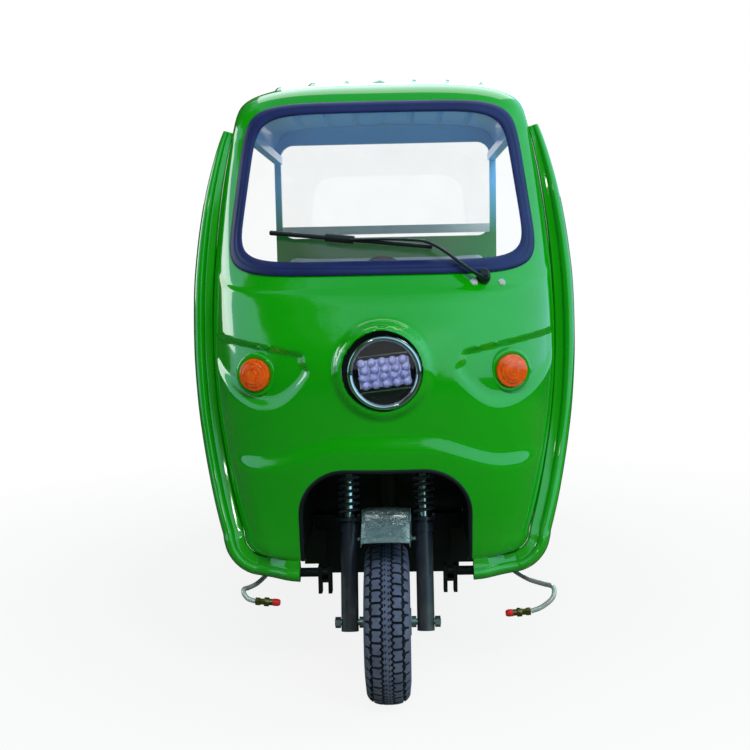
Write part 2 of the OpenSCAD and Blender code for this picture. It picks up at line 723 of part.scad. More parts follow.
module leaf_springs() {
  z0 = tyre_r + 34;
  color("dimgray") for (s = [-1, 1]) {
    translate([s * rail_x - 25, rear_axle_y, z0]) rotate([90, 0, 90]) linear_extrude(50)
      polygon(concat([for (y = [330 : -30 : -330]) [y, 3 * leaf_t + leaf_rise(y)]],
        [for (y = [-330, -251, -250, -161, -160, -80, 0, 80, 160, 161, 250, 251, 330])
          [y, 3 * leaf_t + leaf_rise(y) - leaf_depth(y)]]));
    for (e = [-1, 1]) {
      y = rear_axle_y + e * 338;
      rod_x(s * rail_x - 30, s * rail_x + 30, y, z0 + 62, 12);
      for (x = [-30, 26]) block([s * rail_x + x, y - 22, z0 + 48],
        [s * rail_x + x + 4, y + 22, rail_top - rail_h]);
      block([s * rail_x - 30, y - 22, rail_top - rail_h - 5],
        [s * rail_x + 30, y + 22, rail_top - rail_h]);
      rod_x(s * rail_x - 25, s * rail_x + 25, y - e * 6, z0 + 60, 16);
    }
  }
}

module rear_mudguards() {
  mid = rear_track / 2;
  r = tyre_r + 44;
  color("black") for (s = [-1, 1]) {
    difference() {
      translate([s * mid - 65, rear_axle_y, tyre_r]) rotate([90, 0, 90])
        rotate_extrude(angle = 180) translate([r, 0]) square([3, 130]);
      block([-900, rear_axle_y - 500, tyre_r - 10], [900, rear_axle_y + 500, tyre_r + 60]);
    }
    for (e = [-1, 1]) bar([s * (rail_x + rail_w / 2 + 3), rear_axle_y + e * 205, rail_top - 30],
      [s * (mid - 65), rear_axle_y + e * 205, rail_top - 56], 7);
  }
}

module rear_bumper() {
  y = pivot_y + 40;
  end = overall_length / 2;
  tow_r = 30;
  color("black") difference() {
    union() {
      for (s = [-1, 1]) block([s * rail_x - 20, y, 262], [s * rail_x + 20, y + 12, rail_top - 8]);
      block([40 - hopper_w / 2, y + 12, 262], [hopper_w / 2 - 40, y + 52, 322]);
      block([-tow_r, y + 52, 286], [tow_r, end - tow_r, 298]);
      block([-2 * tow_r, y + 52, 286], [2 * tow_r, y + 57, 298]);
      translate([0, end - tow_r, 286]) cylinder(r = tow_r, h = 12);
      block([-160, y + 12, 222], [-40, y + 18, 262]);
    }
    translate([0, end - tow_r, 270]) cylinder(r = 11, h = 40);
    for (x = [-155, -45]) translate([x, y, 236]) rotate([-90, 0, 0]) cylinder(r = 3, h = 40);
  }
}

module tail_lamps() {
  y = pivot_y + 92;
  color("red") for (s = [-1, 1])
    translate([s * 365, y, 292]) rotate([-90, 0, 0]) {
      translate([-55, -22, 0]) cube([110, 44, 20]);
      translate([-25, 0, 20]) cylinder(r1 = 18, r2 = 15, h = 6);
      translate([25, 0, 20]) cylinder(r1 = 18, r2 = 15, h = 6);
    }
}

module hopper_mounts() {
  color("dimgray") {
    for (s = [-1, 1]) {
      for (x = [-18, 12]) {
        block([s * rail_x + x, pivot_y - 20, rail_top], [s * rail_x + x + 6, pivot_y + 20, pivot_z]);
        rod_x(s * rail_x + x, s * rail_x + x + 6, pivot_y, pivot_z, 20);
      }
      rod_x(s * rail_x - 19, s * rail_x + 19, pivot_y, pivot_z, pin_r);
      block([s * rail_x - 18, hopper_y0 + 70, rail_top],
        [s * rail_x + 18, hopper_y0 + 130, rail_top + 9.7]);
    }
    for (x = [-58, 48]) block([x, ram_cross_y - 20, ram_low_z - 20],
      [x + 10, ram_low_y + 20, rail_top - rail_h]);
    rod_x(-62, 62, ram_low_y, ram_low_z, pin_r);
  }
}

module fork_crowns() {
  color("black") on_fork() {
    for (z = [head_low - 20, head_high + 4]) hull() {
      for (s = [-1, 1]) translate([s * leg_x, 0, z]) cylinder(r = 24, h = 16, $fn = 32);
      translate([0, fork_offset, z]) cylinder(r = 30, h = 16, $fn = 32);
    }
    translate([0, fork_offset, head_low - 20]) cylinder(r = stanchion_r, h = head_high - head_low + 40);
    for (s = [-1, 1]) translate([s * leg_x, 0, spring_low - 2])
      cylinder(r = stanchion_r, h = head_high + 28 - spring_low);
  }
}

module fork_sliders() {
  color("black") on_fork() for (s = [-1, 1]) translate([s * leg_x, 0, 0]) difference() {
    union() {
      translate([0, 0, -22]) cylinder(r = slider_d / 2, h = 276);
      translate([0, 0, 254]) cylinder(r = 31, h = 8);
      translate([0, 0, 225]) cylinder(r = slider_d / 2 + 3, h = 22);
    }
    rotate([0, 90, 0]) cylinder(r = 8 + fit, h = 80, center = true);
  }
}

// Coil between two heights with closed ends
module coil(low, high, mid_r, wire_r, turns) {
  n = 10 * turns;
  skin([for (i = [0 : n]) let (a = 36 * i, z = low + wire_r + (high - low - 2 * wire_r) * i / n)
    [for (k = [0 : 5]) let (q = k * 60)
      [(mid_r + wire_r * cos(q)) * cos(a), (mid_r + wire_r * cos(q)) * sin(a), z + wire_r * sin(q)]]]);
}

module fork_springs() {
  color("dimgray") on_fork() for (s = [-1, 1]) translate([s * leg_x, 0, 0])
    coil(262, head_low - 20, 24, 4, 8);
}

module front_axle() {
  color("silver") on_fork() {
    rod_x(-leg_x - 38, leg_x + 38, 0, 0, 8);
    for (s = [-1, 1]) {
      rod_x(s * (leg_x + 30) - 7, s * (leg_x + 30) + 7, 0, 0, 14, $fn = 6);
      rod_x(s * 66 - 6, s * 66 + 6, 0, 0, 14);
    }
  }
}

// Reach of the front mudguard behind and ahead of the wheel's top
guard_back = 24;
guard_front = 32;

module front_mudguard() {
  r = tyre_r + 87;
  color("silver") {
    translate([0, front_axle_y, tyre_r]) rotate([90, 0, 90]) rotate([0, 0, 90 - guard_back])
      rotate_extrude(angle = guard_back + guard_front)
      polygon([[r - 16, -60], [r - 2, -58], [r, -50], [r + 2, -20], [r + 2, 20], [r, 50],
        [r - 2, 58], [r - 16, 60], [r - 16, 58], [r - 4, 56], [r - 2, 49], [r, 20], [r, -20],
        [r - 2, -49], [r - 4, -56], [r - 16, -58]]);
    on_fork() for (s = [-1, 1]) {
      block([min(s * 60, s * 63), -10, 200], [max(s * 60, s * 63), 10, r - 4]);
      rod_x(min(s * 60, s * (leg_x - slider_d / 2)), max(s * 60, s * (leg_x - slider_d / 2)), 0, 208, 5);
    }
  }
}

// Bends of the handlebar on one side
bar_bends = [[0, 0, 0], [60, 0, 0], [130, 36, 32], [185, 68.15, 40.61], [322, 118.74, 23.76]];

function bar_place(k, side) =
  [side * bar_bends[k][0], fork_offset + bar_bends[k][1], bar_reach + bar_bends[k][2]];

module handlebar() {
  color("black") on_fork() {
    translate([0, fork_offset, head_high + 20]) cylinder(r = 16, h = bar_reach - head_high - 30);
    translate([-30, fork_offset, bar_reach]) rotate([0, 90, 0]) cylinder(r = 19, h = 60);
    sweep(concat([for (k = [4 : -1 : 1]) bar_place(k, -1)], [for (k = [0 : 4]) bar_place(k, 1)]), 11,
      [0, 0.3, 1]);
    for (s = [-1, 1])
      sweep([[s * 170, fork_offset + 56, bar_reach + 38], [s * 180, fork_offset + 24, bar_reach + 37],
        [s * 205, fork_offset + 12, bar_reach + 34], [s * 310, fork_offset + 52, bar_reach + 20]], 5,
        [0, 0, 1]);
  }
}

module hand_grips() {
  color("dimgray") on_fork() for (s = [-1, 1]) difference() {
    a = [s * 205, fork_offset + 75.54, bar_reach + 38.15];
    b = [s * 330, fork_offset + 121.69, bar_reach + 22.77];
    bar(a, b, 16);
    bar(a - 0.1 * (b - a), b - 0.05 * (b - a), 11 + fit);
  }
}

module meter() {
  color("black") on_fork() {
    translate([0, fork_offset - 16, bar_reach + 46]) rotate([-30, 0, 0]) {
      cylinder(r1 = 36, r2 = 50, h = 28);
      translate([0, 0, 28]) cylinder(r = 50, h = 12);
    }
    block([-12, fork_offset - 12, bar_reach + 18.7], [12, fork_offset - 4, bar_reach + 60]);
  }
}

// Section of a tyre: outline shrunk by d
function tyre_outline(d) =
  let (h = tyre_r - rim_d / 2, w = tyre_w / 2 - d)
  [for (a = [-62 : 8 : 242]) let (c = cos(a), s = sin(a))
    [rim_d / 2 + h * 0.5 + (h * 0.5 - d) * sign(s) * pow(abs(s), 0.72), w * sign(c) * pow(abs(c), 0.72)]];

module tyre() {
  seat = rim_d / 2;
  color("dimgray") rotate([0, 90, 0]) rotate_extrude() polygon(concat(
    [[seat, 32], [seat, 46]],
    [for (p = tyre_outline(0)) if (p[0] > seat + 4) p],
    [[seat, -46], [seat, -32]],
    [for (i = [len(tyre_outline(9)) - 1 : -1 : 0]) let (p = tyre_outline(9)[i]) if (p[0] > seat + 16) p]));
}

// Rim with a disc, six round windows and a hub
module rim(hub, bore) {
  seat = rim_d / 2;
  color("silver") rotate([0, 90, 0]) difference() {
    union() {
      rotate_extrude() polygon([[seat - 4, -50], [seat + 10, -50], [seat + 10, -46.3], [seat - 0.3, -46.3],
        [seat - 0.3, -20], [seat - 14, -14], [seat - 14, 14], [seat - 0.3, 20], [seat - 0.3, 46.3],
        [seat + 10, 46.3], [seat + 10, 50], [seat - 4, 50], [seat - 4, 20], [seat - 18, 14],
        [seat - 18, -14], [seat - 4, -20]]);
      translate([0, 0, -3]) cylinder(r = seat - 16, h = 6);
      translate([0, 0, -hub]) cylinder(r = 34, h = 2 * hub);
    }
    translate([0, 0, -100]) cylinder(r = bore, h = 200);
    for (k = [0 : 5]) rotate([0, 0, 60 * k]) translate([seat * 0.58, 0, -10]) cylinder(r = 16, h = 20);
  }
}

module front_tyre() {
  translate([0, front_axle_y, tyre_r]) tyre();
}

module front_rim() {
  translate([0, front_axle_y, tyre_r]) rim(59.5, 8 + fit);
}

module rear_tyre_left() {
  translate([-rear_track / 2, rear_axle_y, tyre_r]) tyre();
}

module rear_rim_left() {
  translate([-rear_track / 2, rear_axle_y, tyre_r]) rim(55, pin_r + fit);
}

module rear_tyre_right() {
  translate([rear_track / 2, rear_axle_y, tyre_r]) tyre();
}

module rear_rim_right() {
  translate([rear_track / 2, rear_axle_y, tyre_r]) rim(55, pin_r + fit);
}

module hopper_base() {
  half = hopper_w / 2;
  color("green") {
    difference() {
      union() {
        block([-half, hopper_y0, hopper_floor_z], [half, hopper_y1, hopper_floor_z + sheet_t]);
        for (s = [-1, 1]) {
          block([s * rail_x - 11, hopper_y0 + 30, rail_top + 10],
            [s * rail_x + 11, pivot_y, hopper_floor_z]);
          rod_x(s * rail_x - 11, s * rail_x + 11, pivot_y, pivot_z, 24);
        }
        for (y = [hopper_y0 + 120, ram_high_y - 60, ram_high_y + 60])
          block([-rail_x, y - 15, hopper_floor_z - 30], [rail_x, y + 15, hopper_floor_z]);
        for (x = [-38, 26])
          block([x, ram_high_y - 46, pivot_z - 24], [x + 12, ram_high_y + 46, hopper_floor_z]);
      }
      for (s = [-1, 1]) rod_x(s * rail_x - 30, s * rail_x + 30, pivot_y, pivot_z, pin_r + 2 * fit);
    }
    rod_x(-27, 27, ram_high_y, pivot_z, pin_r);
  }
}

module hopper_walls() {
  half = hopper_w / 2;
  z0 = hopper_floor_z + sheet_t;
  color("green") {
    block([-half, hopper_y0, z0], [half, hopper_y0 + sheet_t, hopper_top_z]);
    for (s = [-1, 1]) {
      block([min(s * half, s * (half - sheet_t)), hopper_y0, z0],
        [max(s * half, s * (half - sheet_t)), hopper_y1, hopper_top_z]);
      for (k = [0 : 4]) let (y = hopper_y0 + 20 + k * (hopper_length - 70) / 4)
        block([min(s * half, s * (half + 22)), y, hopper_floor_z],
          [max(s * half, s * (half + 22)), y + 40, hopper_top_z]);
    }
    for (x = [-300, 0, 300])
      block([x - 25, hopper_y0 - 16, z0], [x + 25, hopper_y0, hopper_top_z]);
  }
}

module hopper_beams() {
  half = hopper_w / 2;
  color("green") {
    for (s = [-1, 1]) block([min(s * half, s * (half - 40)), hopper_y0, hopper_top_z],
      [max(s * half, s * (half - 40)), hopper_y1, hopper_top_z + 40]);
    block([-half + 40, hopper_y0, hopper_top_z], [half - 40, hopper_y0 + 40, hopper_top_z + 40]);
    block([-half + 40, hopper_y1 - 40, hopper_top_z], [half - 40, hopper_y1, hopper_top_z + 40]);
    block([-beam_w / 2, hopper_y0 + 40, hopper_top_z], [beam_w / 2, hopper_y1 - 40, hopper_top_z + 40]);
    for (s = [-1, 1], y = [hopper_y0 + 60, hopper_y1 - 120]) {
      block([min(s * 30, s * (lid_hinge_x - 8)), y + 62, hopper_top_z + 40],
        [max(s * 30, s * (lid_hinge_x + 8)), y + 70, lid_hinge_z + 8]);
      translate([s * lid_hinge_x, y + 70, lid_hinge_z]) rotate([90, 0, 0]) cylinder(r = 5, h = 70);
    }
    for (s = [-1, 1]) {
      block([s * 330 + 32, hopper_y1 - 10, gate_hinge_z - 12],
        [s * 330 + 40, gate_hinge_y + 12, gate_hinge_z + 12]);
      rod_x(s * 330 - 30, s * 330 + 40, gate_hinge_y, gate_hinge_z, 7);
    }
  }
}

// One lid on the right side: a sheet with a folded edge, hinge knuckles and a handle
module lid() {
  half = hopper_w / 2;
  z = hopper_top_z + 40 + gap;
  x0 = lid_hinge_x + 20;
  color("green") {
    difference() {
      block([x0, lid_y0, z], [half + 6, lid_y1, z + 24]);
      block([x0 + 4, lid_y0 + 4, z - 1], [half + 2, lid_y1 - 4, z + 20]);
    }
    for (k = [1, 2]) let (y = lid_y0 + k * (lid_y1 - lid_y0) / 3)
      block([x0 + 4, y - 15, z], [half + 2, y + 15, z + 20]);
    for (y = [hopper_y0 + 60, hopper_y1 - 120]) difference() {
      union() {
        translate([lid_hinge_x, y + 60, lid_hinge_z]) rotate([90, 0, 0]) cylinder(r = 10, h = 60);
        block([lid_hinge_x, y, lid_hinge_z - 4], [x0 + 10, y + 60, lid_hinge_z + 4]);
      }
      translate([lid_hinge_x, y + 90, lid_hinge_z]) rotate([90, 0, 0]) cylinder(r = 5 + fit, h = 120);
    }
    handle([half - 40, (lid_y0 + lid_y1) / 2, z + 20], [0, 120, 0], [0, 0, 30], 6);
  }
}

module hopper_lid_left() {
  mirror([1, 0, 0]) lid();
}

module hopper_lid_right() {
  lid();
}

module tailgate() {
  half = hopper_w / 2;
  y = hopper_y1 + 6;
  z0 = hopper_floor_z + 4;
  z1 = hopper_top_z - 2;
  color("green") difference() {
    union() {
      block([-half + 4, y, z0], [half - 4, y + 4, z1]);
      for (x = [-430, -145, 145, 430]) block([x - 20, y + 4, z0], [x + 20, y + 22, z1]);
      for (z = [z0, z1 - 40]) block([-half + 4, y + 4, z], [half - 4, y + 22, z + 40]);
      for (s = [-1, 1]) {
        rod_x(s * 330 - 28, s * 330 + 30, gate_hinge_y, gate_hinge_z, 13);
        block([s * 330 - 28, y + 8, z1 - 30], [s * 330 + 30, y + 22, gate_hinge_z]);
      }
      handle([0, y + 20, z0 + 20], [140, 0, 0], [0, 30, 0], 7);
    }
    for (s = [-1, 1]) rod_x(s * 330 - 40, s * 330 + 40, gate_hinge_y, gate_hinge_z, 7 + fit);
  }
}

// Places children on the ram: z runs from the lower pin to the upper one
module on_ram() {
  translate([0, ram_low_y, ram_low_z])
    rotate([-atan2(ram_high_y - ram_low_y, pivot_z - ram_low_z), 0, 0]) children();
}

module ram_barrel() {
  color("dimgray") on_ram() difference() {
    union() {
      rotate([0, 90, 0]) cylinder(r = 22, h = 84, center = true);
      translate([0, 0, 36]) cylinder(r = 42, h = 152);
      cylinder(r = 18, h = 40);
    }
    rotate([0, 90, 0]) cylinder(r = pin_r + fit, h = 100, center = true);
    translate([0, 0, 46]) cylinder(r = 34, h = 150);
  }
}

module ram_sleeve() {
  color("silver") on_ram() difference() {
    translate([0, 0, 48]) cylinder(r = 34 - fit, h = 148);
    translate([0, 0, 40]) cylinder(r = 24, h = 170);
  }
}

module ram_rod() {
  color("silver") on_ram() difference() {
    union() {
      translate([0, 0, 50]) cylinder(r = 24 - fit, h = ram_closed - 60);
      translate([0, 0, ram_closed]) rotate([0, 90, 0]) cylinder(r = 22, h = 44, center = true);
    }
    translate([0, 0, ram_closed]) rotate([0, 90, 0]) cylinder(r = pin_r + 4.2, h = 60, center = true);
  }
}

$fn = 48;

chassis_rails();
cross_members();
steering_neck();
front_hangers();
cab_floor();
bulkhead();
wheel_well();
cowl();
screen_frame();
side_rails();
windscreen();
windscreen_seal();
roof();
roof_rails();
rear_wall();
rear_glass();
lamp_bowl();
lamp_ring();
lamp_emitters();
turn_signals();
wiper();
seat_box();
battery();
seat_cushion();
seat_back();
brake_pedal();
spray_pipes();
spray_fittings();
spray_tips();
rear_axle();
drive_motor();
leaf_springs();
rear_mudguards();
rear_bumper();
tail_lamps();
hopper_mounts();
fork_crowns();
fork_sliders();
fork_springs();
front_axle();
front_mudguard();
handlebar();
hand_grips();
meter();
front_tyre();
front_rim();
rear_tyre_left();
rear_rim_left();
rear_tyre_right();
rear_rim_right();
hopper_base();
hopper_walls();
hopper_beams();
hopper_lid_left();
hopper_lid_right();
tailgate();
ram_barrel();
ram_sleeve();
ram_rod();
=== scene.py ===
from math import asin, cos, hypot, pi, radians, sin, sqrt
import bpy
import bmesh
from mathutils import Matrix, Vector


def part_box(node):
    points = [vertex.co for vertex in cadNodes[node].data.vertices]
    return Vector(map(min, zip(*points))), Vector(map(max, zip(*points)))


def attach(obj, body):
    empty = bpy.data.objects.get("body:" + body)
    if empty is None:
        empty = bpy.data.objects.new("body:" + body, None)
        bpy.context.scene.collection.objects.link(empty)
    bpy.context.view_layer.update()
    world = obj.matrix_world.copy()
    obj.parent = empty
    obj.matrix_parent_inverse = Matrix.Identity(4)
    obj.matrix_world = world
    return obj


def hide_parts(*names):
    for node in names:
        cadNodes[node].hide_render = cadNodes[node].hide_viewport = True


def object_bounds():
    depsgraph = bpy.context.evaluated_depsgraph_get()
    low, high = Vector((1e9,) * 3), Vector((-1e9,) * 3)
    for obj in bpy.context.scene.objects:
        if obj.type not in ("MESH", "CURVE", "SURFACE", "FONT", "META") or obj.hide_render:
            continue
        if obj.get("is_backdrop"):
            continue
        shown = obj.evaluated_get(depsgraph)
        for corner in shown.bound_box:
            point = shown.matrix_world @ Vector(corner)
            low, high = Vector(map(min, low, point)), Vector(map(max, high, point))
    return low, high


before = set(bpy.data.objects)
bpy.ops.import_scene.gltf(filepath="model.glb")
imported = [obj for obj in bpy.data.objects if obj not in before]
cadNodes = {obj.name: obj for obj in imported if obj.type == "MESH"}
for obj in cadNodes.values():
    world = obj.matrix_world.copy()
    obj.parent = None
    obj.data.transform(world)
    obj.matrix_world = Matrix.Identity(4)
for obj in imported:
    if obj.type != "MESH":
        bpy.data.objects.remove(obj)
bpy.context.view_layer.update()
scene = bpy.context.scene
print("frame loaded:", len(cadNodes), "nodes")


# camera, at the photo's place
cameraView = dict(place=(0.0447, -3.84, 1.0992), pitch=-5.826, turn=1.411, roll=-1.142, lens=51.56, sensor=36)
cameraData = bpy.data.cameras.new("photoCamera")
cameraData.lens = cameraView["lens"]
cameraData.sensor_width = cameraView["sensor"]
camera = bpy.data.objects.new("photoCamera", cameraData)
scene.collection.objects.link(camera)
camera.matrix_world = (Matrix.Translation(cameraView["place"])
                       @ Matrix.Rotation(radians(cameraView["turn"]), 4, "Z")
                       @ Matrix.Rotation(radians(90 + cameraView["pitch"]), 4, "X")
                       @ Matrix.Rotation(radians(cameraView["roll"]), 4, "Z"))
scene.camera = camera
scene.view_settings.view_transform = "Standard"
print("camera set")


# node helpers
def feed(tree, socket, value):
    if isinstance(value, bpy.types.NodeSocket):
        tree.links.new(value, socket)
    else:
        socket.default_value = value


def put(tree, kind, sockets=None, **settings):
    node = tree.nodes.new(kind)
    for name, value in settings.items():
        setattr(node, name, value)
    for name, value in (sockets or {}).items():
        feed(tree, node.inputs[name], value)
    return node


def mixColour(tree, factor, first, second):
    return put(tree, "ShaderNodeMix", {0: factor, 6: first, 7: second}, data_type="RGBA").outputs[2]


def maths(tree, operation, *values):
    return put(tree, "ShaderNodeMath", dict(enumerate(values)), operation=operation).outputs[0]


def remap(tree, value, low, high, outLow=0.0, outHigh=1.0):
    limits = {"Value": value, "From Min": low, "From Max": high, "To Min": outLow, "To Max": outHigh}
    return put(tree, "ShaderNodeMapRange", limits).outputs[0]


def ownCoord(tree):
    return tree.nodes.new("ShaderNodeTexCoord").outputs["Object"]


def axisOf(tree, coord, axis):
    return put(tree, "ShaderNodeSeparateXYZ", {0: coord}).outputs[axis]


def cloud(tree, coord, scale, detail, rough=0.5):
    sockets = {"Vector": coord, "Scale": scale, "Detail": detail, "Roughness": rough}
    return put(tree, "ShaderNodeTexNoise", sockets).outputs["Fac"]


def showBlend(tree, output, factor, first, second):
    blend = put(tree, "ShaderNodeMixShader", {0: factor, 1: first.outputs[0], 2: second.outputs[0]})
    tree.links.new(blend.outputs[0], output.inputs["Surface"])


def tone(red, green, blue):
    shares = [level / 255 for level in (red, green, blue)]
    return (*(v / 12.92 if v <= 0.04045 else ((v + 0.055) / 1.055) ** 2.4 for v in shares), 1.0)


def newGroup(name, inputs, outputs):
    group = bpy.data.node_groups.new(name, "ShaderNodeTree")
    for label, kind, value in inputs:
        socket = group.interface.new_socket(name=label, in_out="INPUT", socket_type=kind)
        socket.default_value = value
    for label, kind in outputs:
        group.interface.new_socket(name=label, in_out="OUTPUT", socket_type=kind)
    return group, group.nodes.new("NodeGroupInput").outputs, group.nodes.new("NodeGroupOutput").inputs


def place(tree, group, **values):
    return put(tree, "ShaderNodeGroup", values, node_tree=group).outputs


floatSocket, colourSocket = "NodeSocketFloat", "NodeSocketColor"

# cloudy change of colour over a surface
mottle, src, out = newGroup(
    "mottle", [("Colour", colourSocket, (1, 1, 1, 1)), ("Shade", colourSocket, (0, 0, 0, 1)),
               ("Scale", floatSocket, 6.0), ("Amount", floatSocket, 0.3)], [("Colour", colourSocket)])
mask = remap(mottle, cloud(mottle, ownCoord(mottle), src["Scale"], 5.0, 0.6), 0.35, 0.7)
mask = maths(mottle, "MULTIPLY", mask, src["Amount"])
feed(mottle, out["Colour"], mixColour(mottle, mask, src["Colour"], src["Shade"]))

# small surface grain for bump and roughness
grain, src, out = newGroup(
    "grain", [("Scale", floatSocket, 200.0), ("Rough", floatSocket, 0.3), ("Spread", floatSocket, 0.1)],
    [("Height", floatSocket), ("Rough", floatSocket)])
coord = ownCoord(grain)
feed(grain, out["Height"], cloud(grain, coord, src["Scale"], 3.0))
broad = maths(grain, "SUBTRACT", cloud(grain, coord, 9.0, 4.0), 0.5)
feed(grain, out["Rough"], maths(grain, "MULTIPLY_ADD", broad, src["Spread"], src["Rough"]))

# dust that lies low on the vehicle and in patches
roadDust, src, out = newGroup(
    "roadDust", [("High", floatSocket, 0.6), ("Amount", floatSocket, 0.3)], [("Mask", floatSocket)])
coord = ownCoord(roadDust)
low = maths(roadDust, "DIVIDE", axisOf(roadDust, coord, "Z"), src["High"])
low = maths(roadDust, "MAXIMUM", maths(roadDust, "SUBTRACT", 1.0, low), 0.0)
patch = remap(roadDust, cloud(roadDust, coord, 22.0, 6.0, 0.7), 0.4, 0.75, 0.3, 1.0)
film = maths(roadDust, "MULTIPLY", patch, low)
feed(roadDust, out["Mask"], maths(roadDust, "MULTIPLY", film, src["Amount"]))

# fine scratches in one direction
scuffs, src, out = newGroup(
    "scuffs", [("Scale", floatSocket, 30.0), ("Stretch", floatSocket, 14.0), ("Limit", floatSocket, 0.68)],
    [("Mask", floatSocket)])
ways = put(scuffs, "ShaderNodeSeparateXYZ", {0: ownCoord(scuffs)}).outputs
wide = put(scuffs, "ShaderNodeCombineXYZ", {"X": maths(scuffs, "DIVIDE", ways["X"], src["Stretch"]),
                                            "Y": maths(scuffs, "DIVIDE", ways["Y"], src["Stretch"]),
                                            "Z": ways["Z"]}).outputs[0]
over = maths(scuffs, "SUBTRACT", cloud(scuffs, wide, src["Scale"], 6.0, 0.7), src["Limit"])
feed(scuffs, out["Mask"], remap(scuffs, over, 0.0, 0.08))

wear = dict(dust=tone(150, 140, 122), dustRough=0.5, scuffRough=0.25, scuffGain=1.8, scuffLift=0.03)


def newMaterial(name):
    material = bpy.data.materials.new(name)
    material.use_nodes = True
    return material, material.node_tree, material.node_tree.nodes["Principled BSDF"].inputs


def cover(tree, surface, roughness, mask, colour, rougher):
    return mixColour(tree, mask, surface, colour), maths(tree, "MULTIPLY_ADD", mask, rougher, roughness)


def finish(name, colour, shade, rough=0.4, spread=0.1, metal=0.0, coat=0.0, coatRough=0.05, mottleScale=20,
           mottleAmount=0.35, grainScale=300, bump=0.1, bumpReach=0.001, dust=0.0, dustHigh=0.6, scuff=0.0,
           scuffTone=None):
    material, tree, skin = newMaterial(name)
    body = tone(*colour)
    surface = place(tree, mottle, Colour=body, Shade=tone(*shade), Scale=mottleScale,
                    Amount=mottleAmount)["Colour"]
    fine = place(tree, grain, Scale=grainScale, Rough=rough, Spread=spread)
    roughness = fine["Rough"]
    if scuff:
        mark = maths(tree, "MULTIPLY", place(tree, scuffs)["Mask"], scuff)
        bare = (*(min(1, c * wear["scuffGain"] + wear["scuffLift"]) for c in body[:3]), 1.0)
        surface, roughness = cover(tree, surface, roughness, mark, tone(*scuffTone) if scuffTone else bare,
                                   wear["scuffRough"])
    if dust:
        film = place(tree, roadDust, High=dustHigh, Amount=dust)["Mask"]
        surface, roughness = cover(tree, surface, roughness, film, wear["dust"], wear["dustRough"])
    relief = put(tree, "ShaderNodeBump", {"Height": fine["Height"], "Strength": bump, "Distance": bumpReach})
    for label, value in (("Base Color", surface), ("Roughness", roughness), ("Metallic", metal),
                         ("Coat Weight", coat), ("Coat Roughness", coatRough), ("Normal", relief.outputs[0])):
        feed(tree, skin[label], value)
    return material


gelGreen = finish("gelGreen", (10, 142, 4), (6, 126, 2), rough=0.1, spread=0.05, coat=1.0, coatRough=0.02,
                  mottleScale=2.2, mottleAmount=0.5, grainScale=120, bump=0.04, dust=0.18, dustHigh=0.5)
gelInner = finish("gelInner", (26, 88, 30), (18, 66, 22), rough=0.62, mottleScale=14, bump=0.5, dust=0.3,
                  dustHigh=0.7)
hopperGreen = finish("hopperGreen", (24, 130, 22), (14, 104, 14), rough=0.36, spread=0.2, coat=0.15,
                     coatRough=0.2, mottleScale=5, mottleAmount=0.5, grainScale=160, bump=0.12, dust=0.45,
                     dustHigh=1.2, scuff=0.35, scuffTone=(92, 128, 84))
chassisBlack = finish("chassisBlack", (26, 27, 31), (14, 14, 17), rough=0.42, spread=0.2, coat=0.1,
                      mottleScale=9, grainScale=220, bump=0.2, dust=0.55, dustHigh=0.75, scuff=0.25)
hangerBlack = finish("hangerBlack", (9, 9, 11), (5, 5, 7), rough=0.5, mottleScale=12, bump=0.2)
forkBlack = finish("forkBlack", (25, 30, 43), (14, 18, 27), rough=0.3, spread=0.15, coat=0.25,
                   mottleScale=9, grainScale=260, bump=0.12, dust=0.3, dustHigh=0.45)
springSteel = finish("springSteel", (64, 66, 78), (40, 41, 50), rough=0.3, metal=0.35)
filmSteel = finish("filmSteel", (124, 146, 146), (78, 98, 96), rough=0.22, spread=0.2, metal=0.6, coat=0.6,
                   mottleScale=12, grainScale=26, bump=1.0, bumpReach=0.012)
pipeSteel = finish("pipeSteel", (196, 196, 192), (150, 148, 142), rough=0.22, metal=0.5, mottleScale=30,
                   grainScale=400)
chrome = finish("chrome", (214, 218, 224), (188, 194, 204), rough=0.06, spread=0.05, metal=1.0,
                grainScale=120, bump=0.02)
brass = finish("brass", (170, 138, 84), (120, 94, 52), rough=0.3, metal=1.0, mottleScale=40, grainScale=400,
               bump=0.15)
tipRed = finish("tipRed", (190, 24, 20), (140, 14, 12), rough=0.35, mottleScale=40, grainScale=400)
sealRubber = finish("sealRubber", (20, 26, 82), (12, 16, 56), rough=0.5, spread=0.15, mottleScale=12,
                    mottleAmount=0.6, grainScale=500, bump=0.12)
trimRubber = finish("trimRubber", (14, 14, 17), (8, 8, 10), rough=0.55, grainScale=500, bump=0.2)
wiperBlack = finish("wiperBlack", (20, 21, 27), (10, 10, 14), rough=0.36, mottleScale=30, grainScale=400)
# a darker copy of the tyre rubber for the groove faces: painted shade in the tread grooves
grooveShade = finish("grooveShade", (17, 17, 22), (10, 10, 13), rough=0.8, mottleScale=26, grainScale=380,
                     bump=0.3)
tyreRubber = finish("tyreRubber", (76, 81, 106), (47, 51, 72), rough=0.62, spread=0.2, mottleScale=26,
                    mottleAmount=0.7, grainScale=380, bump=0.35, dust=0.25, dustHigh=0.45)
rimSilver = finish("rimSilver", (150, 154, 160), (118, 122, 128), rough=0.34, spread=0.2, metal=0.85,
                   mottleScale=18, dust=0.5, dustHigh=0.5)
castGrey = finish("castGrey", (112, 116, 120), (84, 88, 92), rough=0.5, spread=0.2, metal=0.7,
                  mottleScale=24, grainScale=420, bump=0.45, dust=0.5, dustHigh=0.5)
boltZinc = finish("boltZinc", (168, 170, 172), (120, 122, 126), rough=0.34, metal=0.95, mottleScale=60,
                  grainScale=500)
ramChrome = finish("ramChrome", (196, 200, 204), (168, 172, 178), rough=0.1, metal=1.0, grainScale=200,
                   bump=0.03)
